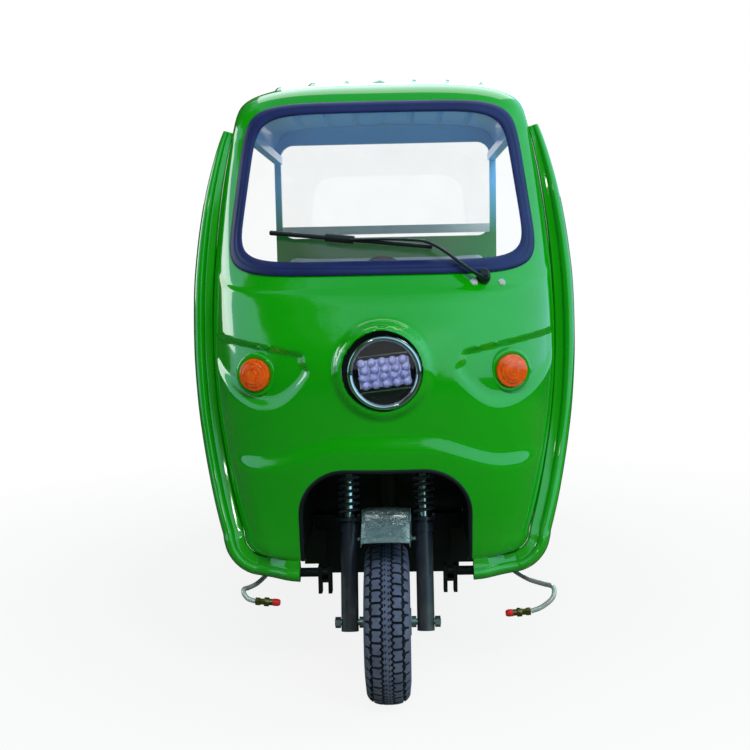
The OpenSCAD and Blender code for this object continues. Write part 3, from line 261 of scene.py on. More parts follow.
batteryCase = finish("batteryCase", (32, 33, 36), (20, 20, 23), rough=0.5, mottleScale=30, grainScale=260,
                     bump=0.4)
gripRubber = finish("gripRubber", (24, 24, 26), (14, 14, 16), rough=0.62, mottleScale=40, grainScale=600,
                    bump=0.5)
lampBlack = finish("lampBlack", (20, 20, 30), (10, 10, 16), rough=0.3, mottleScale=30, grainScale=400)
floorCoat = finish("floorCoat", (46, 48, 50), (30, 31, 33), rough=0.55, mottleScale=14, bump=0.3, dust=0.6,
                   dustHigh=0.8, scuff=0.4)
# blue roof lining, painted brighter to stand in for light inside the shaded cab: painted light
blueLiningPaintedLight = finish("blueLiningPaintedLight", (110, 190, 255), (92, 168, 236), rough=0.3, coat=0.3, mottleScale=3,
                    grainScale=160, bump=0.06)
sillGrey = finish("sillGrey", (186, 190, 190), (150, 156, 156), mottleScale=10, grainScale=260, bump=0.2)
studPale = finish("studPale", (208, 212, 216), (168, 172, 178), rough=0.28, metal=0.35, mottleScale=60,
                  grainScale=500)
panelGreen = finish("panelGreen", (24, 120, 70), (16, 96, 52), rough=0.3, coat=0.3, mottleScale=3,
                    grainScale=160, bump=0.06)

# lens plastics keep a body colour under a clear coat
amberLens = finish("amberLens", (222, 86, 8), (172, 44, 2), rough=0.16, coat=0.8, coatRough=0.04,
                   mottleScale=70, mottleAmount=0.7, grainScale=240, bump=0.3)
ledLens = finish("ledLens", (158, 164, 212), (98, 104, 164), rough=0.16, coat=0.9, coatRough=0.03,
                 mottleScale=120, mottleAmount=0.8, bump=0.2)
redLens = finish("redLens", (176, 14, 14), (120, 6, 8), rough=0.16, coat=0.8, coatRough=0.04,
                 mottleScale=50, grainScale=260, bump=0.3)
skin = amberLens.node_tree.nodes["Principled BSDF"].inputs
skin["Subsurface Weight"].default_value = 0.25
skin["Subsurface Radius"].default_value = (0.01, 0.004, 0.001)


def clearSkin(name, colour, rough, ior=1.45):
    material, tree, skin = newMaterial(name)
    skin["Transmission Weight"].default_value = 1.0
    skin["IOR"].default_value = ior
    shade = (*(c * 0.9 for c in colour[:3]), 1.0)
    tint = place(tree, mottle, Colour=colour, Shade=shade, Scale=8.0, Amount=0.3)
    feed(tree, skin["Base Color"], tint["Colour"])
    feed(tree, skin["Roughness"], place(tree, grain, Scale=60.0, Rough=rough, Spread=rough / 2)["Rough"])
    shadowRay = tree.nodes.new("ShaderNodeLightPath").outputs["Is Shadow Ray"]
    through = put(tree, "ShaderNodeBsdfTransparent", {"Color": colour})
    showBlend(tree, tree.nodes["Material Output"], shadowRay, tree.nodes["Principled BSDF"], through)
    return material


screenGlass = clearSkin("screenGlass", (0.985, 0.995, 0.995, 1.0), rough=0.01)
lampGlass = clearSkin("lampGlass", (0.97, 0.98, 1.0, 1.0), rough=0.02)


def seatVinyl():
    material = finish("seatVinyl", (150, 156, 160), (122, 128, 133), rough=0.46, mottleScale=5)
    tree = material.node_tree
    cells = put(tree, "ShaderNodeTexVoronoi", {"Vector": ownCoord(tree), "Scale": 330.0},
                feature="DISTANCE_TO_EDGE")
    crease = remap(tree, cells.outputs["Distance"], 0.0, 0.12)
    relief = put(tree, "ShaderNodeBump", {"Height": crease, "Strength": 0.35, "Distance": 0.0008})
    feed(tree, tree.nodes["Principled BSDF"].inputs["Normal"], relief.outputs[0])
    return material


# a second colour that takes over between two distances from the middle or the ground
def paintOver(material, axis, first, second, colour):
    tree = material.node_tree
    base = tree.nodes["Principled BSDF"].inputs["Base Color"]
    mask = remap(tree, maths(tree, "ABSOLUTE", axisOf(tree, ownCoord(tree), axis)), first, second)
    feed(tree, base, mixColour(tree, mask, base.links[0].from_socket, tone(*colour)))
    return material


vinylGrey = seatVinyl()
# rear wall green below and pale blue from 1.2 m up; the blue band is painted brighter to stand in for light
# in the shaded cab
wallWithPaintedLightTop = paintOver(finish("wallPaint", (22, 128, 40), (14, 104, 30), rough=0.3, coat=0.3, mottleScale=3,
                            grainScale=160, bump=0.06), "Z", 1.2, 1.38, (112, 194, 250))
wellBlack = paintOver(finish("wellPaint", (12, 12, 15), (7, 7, 9), rough=0.6, mottleScale=14, bump=0.4,
                             dust=0.2), "X", 0.085, 0.075, (14, 52, 18))
print("finishes made:", len(bpy.data.materials))

# which finish each solid keeps
solidFinish = [
    (chassisBlack, "chassis_rails cross_members brake_pedal rear_axle leaf_springs rear_bumper"),
    (chassisBlack, "hopper_mounts ram_barrel"), (hangerBlack, "steering_neck front_hangers"),
    (floorCoat, "cab_floor"),
    (wellBlack, "bulkhead"), (trimRubber, "wheel_well rear_mudguards"), (sealRubber, "windscreen_seal"),
    (gelGreen, "cowl screen_frame side_rails roof"), (screenGlass, "windscreen rear_glass"),
    (blueLiningPaintedLight, "roof_rails"), (wallWithPaintedLightTop, "rear_wall"), (lampBlack, "lamp_bowl lamp_emitters meter"),
    (chrome, "lamp_ring"), (amberLens, "turn_signals"), (wiperBlack, "wiper"), (panelGreen, "seat_box"),
    (batteryCase, "battery"), (vinylGrey, "seat_cushion seat_back"), (pipeSteel, "spray_pipes"),
    (brass, "spray_fittings"), (tipRed, "spray_tips"), (castGrey, "drive_motor"), (redLens, "tail_lamps"),
    (forkBlack, "fork_crowns fork_sliders handlebar"), (springSteel, "fork_springs"),
    (boltZinc, "front_axle"), (filmSteel, "front_mudguard"), (gripRubber, "hand_grips"),
    (ramChrome, "ram_sleeve ram_rod"),
    (tyreRubber, "front_tyre rear_tyre_left rear_tyre_right"),
    (rimSilver, "front_rim rear_rim_left rear_rim_right"),
    (hopperGreen, "hopper_base hopper_walls hopper_beams hopper_lid_left hopper_lid_right tailgate")]
softEdge = dict(width=0.0016, segments=2, angle=40, nodes=(
    "chassis_rails cross_members front_hangers rear_wall seat_box rear_bumper tail_lamps hopper_mounts "
    "hopper_base hopper_walls hopper_beams hopper_lid_left hopper_lid_right tailgate front_mudguard "
    "rear_mudguards roof_rails brake_pedal meter fork_crowns").split())
for material, names in solidFinish:
    for name in names.split():
        slots = cadNodes[name].data.materials
        slots.clear()
        slots.append(material)
for name in softEdge["nodes"]:
    edge = cadNodes[name].modifiers.new("edge", "BEVEL")
    edge.width = softEdge["width"]
    edge.segments = softEdge["segments"]
    edge.limit_method = "ANGLE"
    edge.angle_limit = radians(softEdge["angle"])
print("solids dressed")


# mesh helpers
def addPiece(name, shape, material, replaces=(), body="chassis", sharp=38):
    for face in shape.faces:
        face.smooth = True
    for edge in shape.edges:
        edge.smooth = len(edge.link_faces) == 2 and edge.calc_face_angle(0) < radians(sharp)
    mesh = bpy.data.meshes.new(name)
    shape.to_mesh(mesh)
    shape.free()
    mesh.materials.append(material)
    piece = bpy.data.objects.new(name, mesh)
    scene.collection.objects.link(piece)
    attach(piece, body)
    if replaces:
        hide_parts(*replaces)
    return piece


def addWall(piece, thick, offset, inner=None):
    if inner:
        piece.data.materials.append(inner)
    wall = piece.modifiers.new("wall", "SOLIDIFY")
    wall.thickness = thick / 1000
    wall.offset = offset
    wall.material_offset = len(piece.data.materials) - 1


def closeUp(shape):
    bmesh.ops.remove_doubles(shape, verts=shape.verts, dist=1e-6)
    bmesh.ops.recalc_face_normals(shape, faces=shape.faces)


def faceTowards(shape, way):
    bmesh.ops.recalc_face_normals(shape, faces=shape.faces)
    if sum(face.normal.dot(way) for face in shape.faces) < 0:
        bmesh.ops.reverse_faces(shape, faces=shape.faces)


def wrapGrid(shape, across, along, spot, close=True):
    for vert in bmesh.ops.create_grid(shape, x_segments=across, y_segments=along, size=0.5)["verts"]:
        vert.co = spot(vert.co.x + 0.5, vert.co.y + 0.5)
    if close:
        closeUp(shape)


# a turned shape from radius and height in millimetres
def spunPiece(outline, steps, matrix):
    shape = bmesh.new()
    verts = [shape.verts.new((r / 1000, 0, h / 1000)) for r, h in outline]
    edges = [shape.edges.new(pair) for pair in zip(verts, verts[1:])]
    bmesh.ops.spin(shape, geom=verts + edges, cent=(0, 0, 0), axis=(0, 0, 1), angle=2 * pi, steps=steps,
                   use_merge=True)
    closeUp(shape)
    bmesh.ops.transform(shape, matrix=matrix, verts=shape.verts)
    return shape


def block(shape, matrix, size, bevel=0):
    bmesh.ops.create_cube(shape, size=1, matrix=matrix @ Matrix.Diagonal((*size, 1)))
    if bevel:
        bmesh.ops.bevel(shape, geom=list(shape.edges), offset=bevel, affect="EDGES", segments=2, profile=0.5,
                        material=-1)


def join(target, source):
    mesh = bpy.data.meshes.new("joining")
    source.to_mesh(mesh)
    source.free()
    target.from_mesh(mesh)
    bpy.data.meshes.remove(mesh)


# a smooth curve through points, with a whole number on each
def curveAt(points, t):
    last = len(points) - 1
    i = min(last - 1, int(t))
    u = t - i
    b, c = points[i], points[i + 1]
    a = points[i - 1] if i else 2 * b - c
    d = points[i + 2] if i < last - 1 else 2 * c - b
    return b + 0.5 * u * ((c - a) + u * ((2 * a - 5 * b + 4 * c - d) + u * (3 * (b - c) + d - a)))


def smoothPath(points, steps):
    return [curveAt(points, k / steps) for k in range((len(points) - 1) * steps + 1)]


def addSwept(shape, steps, sides, spot):
    piece = bmesh.new()
    wrapGrid(piece, steps, sides, spot)
    bmesh.ops.holes_fill(piece, edges=[e for e in piece.edges if e.is_boundary], sides=0)
    bmesh.ops.recalc_face_normals(piece, faces=piece.faces)
    join(shape, piece)


def tube(shape, path, radius, sides=16, flat=1.0, side=Vector((0, 0, 1))):
    count = len(path) - 1
    frames = []
    for i in range(count + 1):
        v = (path[min(count, i + 1)] - path[max(0, i - 1)]).normalized()
        a = v.cross(side).normalized()
        frames.append((path[i], a, v.cross(a).normalized()))

    def spot(u, v):
        middle, a, b = frames[round(u * count)]
        r = radius(u) if callable(radius) else radius
        return middle + r * (a * cos(2 * pi * v) + b * flat * sin(2 * pi * v))
    addSwept(shape, count, sides, spot)


def turned(place, direction):
    return Matrix.Translation(place) @ Vector(direction).to_track_quat("Z", "Y").to_matrix().to_4x4()


def bolt(shape, place, direction, across, tall):
    wide, washer = across * 0.9, 1.2
    piece = spunPiece([(0, 0), (wide, 0), (wide, washer), (0, washer)], 12, Matrix())
    head = bmesh.new()
    radius, tall = across * 0.58 / 1000, tall / 1000
    bmesh.ops.create_cone(head, cap_ends=True, segments=6, radius1=radius, radius2=radius, depth=tall)
    bmesh.ops.translate(head, verts=head.verts, vec=(0, 0, tall / 2 + 0.001))
    crown = [e for e in head.edges if all(v.co.z > tall / 2 + 0.001 for v in e.verts)]
    bmesh.ops.bevel(head, geom=crown, offset=across * 0.08 / 1000, affect="EDGES", segments=1, profile=0.5,
                    material=-1)
    join(piece, head)
    bmesh.ops.recalc_face_normals(piece, faces=piece.faces)
    bmesh.ops.transform(piece, matrix=turned(place, direction), verts=piece.verts)
    join(shape, piece)


def ease(a, b, v):
    t = min(1.0, max(0.0, (v - a) / (b - a)))
    return t * t * (3 - 2 * t)


# the moulded front, in millimetres; a station is z and y in the middle, then z and y at the rim
shell = dict(width=892, sideR=2600, lowR=1550, wideZ=925, lowZ=374, cornerR=52, thick=5, noseY=-1339,
             roofZ=1591, roofEdge=1480, roofPower=3.3, roofFrom=6.5, roofTo=10.5, across=176, along=200,
             fine=40,
             stations=[(374, 85, 374, 169), (410, 75, 410, 184), (480, 56, 480, 212), (640, 16, 640, 272),
                       (853, 0, 853, 315), (1000, 60, 1000, 330), (1100, 124, 1096, 340),
                       (1300, 226, 1285, 362), (1450, 303, 1415, 392), (1530, 350, 1465, 420),
                       (1572, 404, 1477, 450), (1591, 480, 1480, 480)])
screen = dict(z=1300, halfH=224, halfW=375, taper=55, seal=34, power=6.9, reach=250, step=5,
              fade=(1430, 1474))
arch = dict(half=207, top=612, corner=118, bulge=12, beltRise=56, beltX=(90, 300), beltZ=(-12, 34))
lamp = dict(z=853, hole=96, x=5, drop=4, collar=(100, 121), proud=14)
hollow = dict(deep=17, x=285, z=760, outer=(130, 170), inner=(75, 103), brow=905, browX=245, slope=0.16,
              side=(184, 202), sideZ=870, lean=0.9)
stations = [Vector(s) for s in shell["stations"]]
lastStation = len(stations) - 1


def rimHalf(z):
    low = shell["lowZ"] + shell["cornerR"]
    drop = max(0, low - z)
    r = shell["sideR"] if z > shell["wideZ"] else shell["lowR"]
    return (shell["width"] / 2 - r + sqrt(r * r - (max(z, low) - shell["wideZ"]) ** 2)
            - shell["cornerR"] + sqrt(max(0, shell["cornerR"] ** 2 - drop * drop)))


def station(t):
    return curveAt(stations, t)


def screenRatio(x, z, grow):
    n = screen["power"]
    dz = z - screen["z"]
    wide = screen["halfW"] + grow - screen["taper"] * dz / (2 * screen["halfH"])
    return ((abs(x) / wide) ** n + (abs(dz) / (screen["halfH"] + grow)) ** n) ** (1 / n)


def moulding(x, z, half):
    ax = abs(x)
    belt = arch["top"] + arch["beltRise"] * (1 - ease(*arch["beltX"], ax))
    beltLow, beltHigh = arch["beltZ"]
    bulge = (1 - ease(0.8, 1, ax / half)) * (1 - ease(belt + beltLow, belt + beltHigh, z))
    rise, reach = hollow["outer"] if ax > hollow["x"] else hollow["inner"]
    low = hollow["z"] + rise * ((ax - hollow["x"]) / reach) ** 2
    brow = hollow["brow"] + hollow["slope"] * (ax - hollow["browX"])
    side = ax + hollow["lean"] * max(0, hollow["sideZ"] - z)
    sunk = (ease(0, 12, brow - z) * ease(-8, 30, z - low) * ease(*hollow["side"], side)
            * (1 - ease(0.92, 1, ax / half)))
    step = (1 - ease(1.0, 1.04, screenRatio(x, z, screen["seal"]))) * (1 - ease(*screen["fade"], z))
    return arch["bulge"] * bulge - hollow["deep"] * sunk - screen["step"] * step


def collar(x, y, z):
    share = 1 - ease(*lamp["collar"], hypot(x, z - lamp["z"]))
    return y + (shell["noseY"] - lamp["proud"] - y) * share


def shellPower(t):
    return 2 + (shell["roofPower"] - 2) * ease(shell["roofFrom"], shell["roofTo"], t)


def bow(share, power):
    return max(0, 1 - min(1, abs(share)) ** power) ** (1 / power)


def signed(value, power):
    return (1 if value > 0 else -1) * abs(value) ** power


def sectionAt(t):
    s = station(t)
    return s, rimHalf(min(s[2], shell["roofEdge"]))


def shellPoint(t, angle):
    s, half = sectionAt(t)
    q = 2 / shellPower(t)
    x = half * signed(sin(angle), q)
    drop = 1 - max(0, cos(angle)) ** q
    z = s[0] + (s[2] - s[0]) * drop
    y = shell["noseY"] + s[1] + (s[3] - s[1]) * drop - moulding(x, z, half)
    return Vector((x, collar(x, y, z), z)) / 1000


def stationAt(x, z):
    low, high = 0.0, float(lastStation)
    for _ in range(26):
        middle = (low + high) / 2
        s, half = sectionAt(middle)
        if s[0] + (s[2] - s[0]) * (1 - bow(x / half, shellPower(middle))) < z:
            low = middle
        else:
            high = middle
    return low


def shellY(x, z, plain=False):
    t = stationAt(x, z)
    s, half = sectionAt(t)
    y = shell["noseY"] + s[1] + (s[3] - s[1]) * (1 - bow(x / half, shellPower(t))) - moulding(x, z, half)
    return y if plain else collar(x, y, z)


def onShell(x, z, lift=0.0):
    return Vector((x, shellY(x, z, True) - lift, z)) / 1000


def screenEdge(angle, grow):
    q = 2 / screen["power"]
    z = signed(sin(angle), q) * (screen["halfH"] + grow)
    x = signed(cos(angle), q) * (screen["halfW"] + grow - screen["taper"] * z / (2 * screen["halfH"]))
    return x, screen["z"] + z


# angle at a share of the way round the windscreen, in even steps
def edgeTurn(share):
    quarter = int(share * 4)
    f = share * 4 - quarter
    corner = 2 ** (-1 / screen["power"])
    a = asin((corner * 2 * min(f, 1 - f)) ** (screen["power"] / 2))
    return quarter * pi / 2 + (a if f < 0.5 else pi / 2 - a)


# how far a place lies outside each opening
def outScreen(x, z):
    return (screenRatio(x, z, -screen["seal"] / 2) - 1) * screen["reach"]


def outArch(x, z):
    qx = abs(x) - arch["half"] + arch["corner"]
    qz = z - arch["top"] + arch["corner"]
    if qz < 0:
        return qx - arch["corner"]
    return hypot(max(qx, 0), qz) - arch["corner"]


def outLamp(x, z):
    return hypot(x, z - lamp["z"]) - lamp["hole"]


# even steps up the middle line
reach = [0.0]
for i in range(shell["fine"] * lastStation):
    a, b = station(i / shell["fine"]), station((i + 1) / shell["fine"])
    reach.append(reach[-1] + hypot(b[0] - a[0], b[1] - a[1]))


def evenStation(share):
    goal = share * reach[-1]
    i = next(k for k in range(1, len(reach)) if reach[k] >= goal - 1e-9)
    part = (goal - reach[i - 1]) / (reach[i] - reach[i - 1])
    return (i - 1 + part) / shell["fine"]


frontShape = bmesh.new()
rows = [evenStation(k / shell["along"]) for k in range(shell["along"] + 1)]
wrapGrid(frontShape, shell["across"], shell["along"],
         lambda u, v: shellPoint(rows[round(v * shell["along"])], (u - 0.5) * pi), close=False)
openings = [outScreen, outArch, outLamp]
gone = []
for face in frontShape.faces:
    middle = face.calc_center_median() * 1000
    if min(outside(middle.x, middle.z) for outside in openings) < 0:
        gone.append(face)
rimBefore = {e for e in frontShape.edges if e.is_boundary}
bmesh.ops.delete(frontShape, geom=gone, context="FACES")
for vert in {v for e in frontShape.edges if e.is_boundary and e not in rimBefore for v in e.verts}:
    x, z = vert.co.x * 1000, vert.co.z * 1000
    outside = min(openings, key=lambda f: abs(f(x, z)))
    for _ in range(4):
        d = outside(x, z)
        gx = outside(x + 0.5, z) - outside(x - 0.5, z)
        gz = outside(x, z + 0.5) - outside(x, z - 0.5)
        size = max(1e-6, gx * gx + gz * gz)
        x, z = x - d * gx / size, z - d * gz / size
    if z > shell["lowZ"] + 1:
        vert.co = Vector((x, shellY(x, z), z)) / 1000
faceTowards(frontShape, Vector((0, -1, 0)))
frontShell = addPiece("front_shell", frontShape, gelGreen, ("cowl", "screen_frame"), sharp=60)
addWall(frontShell, shell["thick"], -1, gelInner)
print("front shell:", len(frontShell.data.polygons), "faces")


# beads down both edges of the front: a flat strip, a round bead, black trim along the outer edge
bead = dict(radius=26, drawn=25, back=8, thin=0.5, thinFrom=5.6, thinTo=8.9, trimSteps=96,
            trim=[(24.2, 7), (25, 5), (25, -4), (21, -13), (19, -12), (23, -3)],
            section=[(-26.4, 0), (-26.2, 4), (-23, 8), (-7, 8.6), (-4.6, 9.6), (-3.4, 13), (-1.2, 18),
                     (3, 22), (8, 23.4), (13, 21), (18, 17), (22, 10.8), (24, 6), (24, 0), (23, -7),
                     (18, -16), (11, -22), (0, -25), (-11, -22), (-19, -16), (-24, -7)],
            turns=[0.02, 0.06, 0.12, 0.22, 0.36, 0.52, 0.7, 0.9, 1.15, 1.5, 1.9, 2.3, 2.7, 3.1, 3.5, 4, 4.5,
                   5, 5.5, 6, 6.5, 7, 7.5, 8, 8.4, 8.75])


def rimEdge(t):
    z = station(t)[2]
    return Vector((rimHalf(z), z))


def beadSpot(t):
    r = bead["radius"] * (1 - bead["thin"] * ease(bead["thinFrom"], bead["thinTo"], t))
    v = (rimEdge(t + 0.02) - rimEdge(max(0, t - 0.02))).normalized() * (r + 1)
    e = rimEdge(t)
    return Vector((e.x + v.y, shell["noseY"] + station(t)[3] - bead["back"], e.y - v.x, r))


# along the lower edge
def beadFoot(x):
    y = shellY(x, shell["lowZ"], True) + 2.5 + bead["back"] * ease(0.6, 1, x / lowHalf)
    return Vector((x, y, shell["lowZ"] - bead["radius"] - 1, bead["radius"]))


lowHalf = rimHalf(shell["lowZ"])
beadRun = [beadFoot(x) for x in (arch["half"] + 8, arch["half"] + 40, lowHalf - 25)]
beadPath = smoothPath(beadRun + [beadSpot(t) for t in bead["turns"]], 4)


def sweepSection(shape, path, section, sign):
    count, sides = len(path) - 1, len(section)

    def spot(u, v):
        i = round(u * count)
        p = path[i]
        w = path[min(count, i + 1)] - path[max(0, i - 1)]
        w = Vector((w.x, 0, w.z)).normalized()
        out, front = (p.w / bead["drawn"] * c for c in section[round(v * sides) % sides])
        return Vector((sign * (p.x + w.z * out), p.y - front, p.z - w.x * out)) / 1000
    addSwept(shape, count, sides, spot)


beadShape = bmesh.new()
trimShape = bmesh.new()
for sign in (-1, 1):
    sweepSection(beadShape, beadPath, bead["section"], sign)
    sweepSection(trimShape, beadPath[:bead["trimSteps"]], bead["trim"], sign)
addPiece("edge_beads", beadShape, gelGreen, ("side_rails",), sharp=44)

# black trim round the wheel opening
archRun = [(arch["half"], z) for z in (376, 405, 435, 470)]
for k in range(9):
    a = pi / 2 * k / 8
    archRun.append((arch["half"] - arch["corner"] * (1 - cos(a)),
                    arch["top"] - arch["corner"] * (1 - sin(a))))
archRun += [(50, arch["top"]), (0, arch["top"])]
archRun += [(-x, z) for x, z in reversed(archRun[:-1])]
archPath = smoothPath([Vector((x, shellY(x, z) + 2.5, z)) / 1000 for x, z in archRun], 5)
tube(trimShape, archPath, 0.0055, 12, side=Vector((0, 1, 0)))
addPiece("edge_trim", trimShape, trimRubber)


# windscreen glass and its rubber
def onScreen(share, grow, lift):
    x, z = screenEdge(edgeTurn(share), grow)
    return onShell(x, z, lift)


pane = dict(inset=20, lift=3, thick=6, across=60, along=48)
rubber = dict(steps=240, outline=[(0, 1), (-1.5, 6.4), (-5, 9.4), (-11, 11.4), (-15, 11.8), (-17, 10.6),
                                  (-19, 11.8), (-23, 11.4), (-29, 9.4), (-32.5, 6.4), (-34, 3.4), (-19, 3.4),
                                  (-19, 1)])


def paneSpot(u, v):
    rise = sin((v - 0.5) * pi)
    dz = rise * (screen["halfH"] - pane["inset"])
    wide = screen["halfW"] - pane["inset"] - screen["taper"] * dz / (2 * screen["halfH"])
    return onShell((2 * u - 1) * wide * bow(rise, screen["power"]), screen["z"] + dz, pane["lift"])


def rubberSpot(u, v):
    steps, outline = rubber["steps"], rubber["outline"]
    return onScreen((round(u * steps) % steps) / steps, *outline[round(v * len(outline)) % len(outline)])


glassShape = bmesh.new()
wrapGrid(glassShape, pane["across"], pane["along"], paneSpot)
glassPiece = addPiece("screen_pane", glassShape, screenGlass, ("windscreen",), sharp=60)
addWall(glassPiece, pane["thick"], 0)
rubberShape = bmesh.new()
wrapGrid(rubberShape, rubber["steps"], len(rubber["outline"]), rubberSpot)
addPiece("screen_rubber", rubberShape, sealRubber, ("windscreen_seal",), sharp=50)
print("windscreen done")


# roof skin with its long ribs
roof = dict(half=rimHalf(shell["roofEdge"]), front=-859, back=5, ribs=[-276, -184, -92, 0, 92, 184, 276],
            ribHigh=10, ribWide=11, across=320, along=60)
roofShape = bmesh.new()


def roofSpot(u, v):
    angle = (u - 0.5) * pi
    q = 2 / shell["roofPower"]
    y = roof["front"] + v * (roof["back"] - roof["front"])
    x = roof["half"] * signed(sin(angle), q)
    z = shell["roofEdge"] + (shell["roofZ"] - shell["roofEdge"]) * max(0, cos(angle)) ** q
    ends = ease(0, 12, y - roof["front"]) * ease(8, 34, roof["back"] - y)
    rib = max(max(0.0, 1 - ((x - r) / roof["ribWide"]) ** 2) for r in roof["ribs"])
    return Vector((x, y, z + roof["ribHigh"] * ends * sqrt(rib))) / 1000


wrapGrid(roofShape, roof["across"], roof["along"], roofSpot, close=False)
faceTowards(roofShape, Vector((0, 0, 1)))
addWall(addPiece("roof_skin", roofShape, gelGreen, ("roof",)), shell["thick"], -1, blueLiningPaintedLight)
print("roof done")


# tyres with blocks either side of a middle rib
# dark gives the depths below the crown where the groove faces take painted shade
tread = dict(radius=201, pitches=40, perPitch=10, depth=4.6, half=57, flat=55.2, middle=151.5, high=49.5,
             bore=103, sidePower=0.72, crown=2.78, crownRoot=0.36, rib=13, block=38, groove=4.6,
             wave=3.6, sipe=1.8, edge=(50, 55), line=0.9, dark=(1.5, 8),
             lining=[(103, -46), (116, -48), (140, -49), (180, -40), (192, 0), (180, 40), (140, 49),
                     (116, 48), (103, 46)])


def treadCut(x, turn):
    phase = (turn * tread["pitches"]) % 1.0
    local = (phase + (0.5 if x > 0 else 0.0)) % 1.0
    double = (2 * phase) % 1.0
    length = 2 * pi * tread["radius"] / tread["pitches"]
    wave = 2 * tread["wave"] * (abs(2 * double - 1) - 0.5)
    ax = abs(x)

    def slot(distance, width=tread["groove"]):
        return 1 - ease(width / 2 - 0.6, width / 2 + 0.7, abs(distance))
    cut = max(slot(ax - tread["rib"] - wave), slot(ax - tread["block"] + 0.6 * wave))
    if ax < tread["rib"]:
        return max(cut, 0.75 * slot((double - 0.5) * length / 2 + 0.35 * x, tread["sipe"]))
    if ax < tread["block"]:
        return max(cut, slot((local - 0.5) * length))
    shoulder = ((local + 0.5) % 1.0 - 0.5) * length - 0.25 * (ax - 36)
    return max(cut, 0.9 * slot(shoulder) * (1 - ease(*tread["edge"], ax)))


def crownAt(x):
    share = min(1, abs(x) / tread["half"])
    return tread["middle"] + tread["high"] * (1 - share ** tread["crown"]) ** tread["crownRoot"]


def tyrePiece(name, middle, body, node):
    middle = Vector(middle)
    section = [(-62 + 5 * k, None) for k in range(13)]  # an angle on each wall, a place across the tread
    section += [(None, tread["flat"] * (1 - k / 37)) for k in range(1, 74)]
    section += [(182 + 5 * k, None) for k in range(13)]
    around = tread["pitches"] * tread["perPitch"]
    rings = len(section) - 1

    def spot(u, v):
        angle, x = section[round(v * rings)]
        turn = (round(u * around) % around) / around
        if angle is None:
            r = crownAt(x) - treadCut(x, turn) * tread["depth"]
        else:
            side = min(angle, 180 - angle)
            x = tread["half"] * signed(cos(radians(angle)), tread["sidePower"])
            r = tread["middle"] + tread["high"] * signed(sin(radians(angle)), tread["sidePower"])
            r = max(r, tread["bore"]) + tread["line"] * (ease(-34, -30, side) - ease(-26, -22, side))
        a = 2 * pi * turn
        return (middle + Vector((x, r * sin(a), r * cos(a)))) / 1000
    shape = bmesh.new()
    wrapGrid(shape, around, rings, spot)
    axle = Matrix.Translation(middle / 1000) @ Matrix.Rotation(pi / 2, 4, "Y")
    lining = spunPiece(tread["lining"], 64, axle)
    bmesh.ops.reverse_faces(lining, faces=lining.faces)
    join(shape, lining)
    # groove walls and floors between these depths take the darker rubber, painted shade in the grooves
    shadeFrom, shadeTo = tread["dark"]
    for face in shape.faces:
        spotX, spotY, spotZ = face.calc_center_median() * 1000 - middle
        depth = crownAt(spotX) - hypot(spotY, spotZ)
        face.material_index = int(abs(spotX) < 0.97 * tread["half"] and shadeFrom < depth < shadeTo)
    piece = addPiece(name, shape, tyreRubber, (node,), body, sharp=45)
    piece.data.materials.append(grooveShade)


tyrePiece("tyre_front", (0, -1199, 201), "front_wheel", "front_tyre")
tyrePiece("tyre_left", (-410, 731, 201), "rear_wheel_left", "rear_tyre_left")
tyrePiece("tyre_right", (410, 731, 201), "rear_wheel_right", "rear_tyre_right")
print("tyres done")


# fork frame: z runs up the legs from the axle
fork = dict(axle=(0, -1.199, 0.201), rake=-14, legX=0.096, inner=14.5, outer=17)
coil = dict(low=0.264, high=0.468, radius=0.025, wire=0.0042, turns=12, perTurn=24)
forkFrame = Matrix.Translation(fork["axle"]) @ Matrix.Rotation(radians(fork["rake"]), 4, "X")
coilShape = bmesh.new()
sleeveShape = bmesh.new()
for sign in (-1, 1):
    leg = forkFrame @ Matrix.Translation((sign * fork["legX"], 0, 0))
    count = coil["turns"] * coil["perTurn"]
    rise = coil["high"] - coil["low"] - 2 * coil["wire"]
    path = []
    for k in range(count + 1):
        a = 2 * pi * k / coil["perTurn"]
        z = coil["low"] + coil["wire"] + rise * k / count
        path.append(leg @ Vector((coil["radius"] * cos(a), coil["radius"] * sin(a), z)))
    tube(coilShape, path, coil["wire"], 8, side=forkFrame.to_3x3() @ Vector((0, 0, 1)))
    inner, outer, low, high = fork["inner"], fork["outer"], coil["low"] * 1000, coil["high"] * 1000
    ring = [(inner, low), (outer, low), (outer, high), (inner, high), (inner, low)]
    join(sleeveShape, spunPiece(ring, 32, leg))
addPiece("coil_springs", coilShape, springSteel, ("fork_springs",), "steering")
addPiece("stanchions", sleeveShape, chrome, body="steering")
print("springs done")


# headlamp ring, light block and front glass
lampPlace = Vector((lamp["x"], shell["noseY"] - 8, lamp["z"] - lamp["drop"])) / 1000
lampAxis = Matrix.Translation(lampPlace) @ Matrix.Rotation(radians(-90), 4, "X")
ringOutline = [(74, 17.8), (74, -3), (75.5, -6.4), (78, -9), (81, -10.6), (84, -9.6), (86.4, -7), (87.6, -3),
               (88, 2), (88, 17.8), (74, 17.8)]
addPiece("lamp_bezel", spunPiece(ringOutline, 96, lampAxis), chrome, ("lamp_ring",), sharp=50)

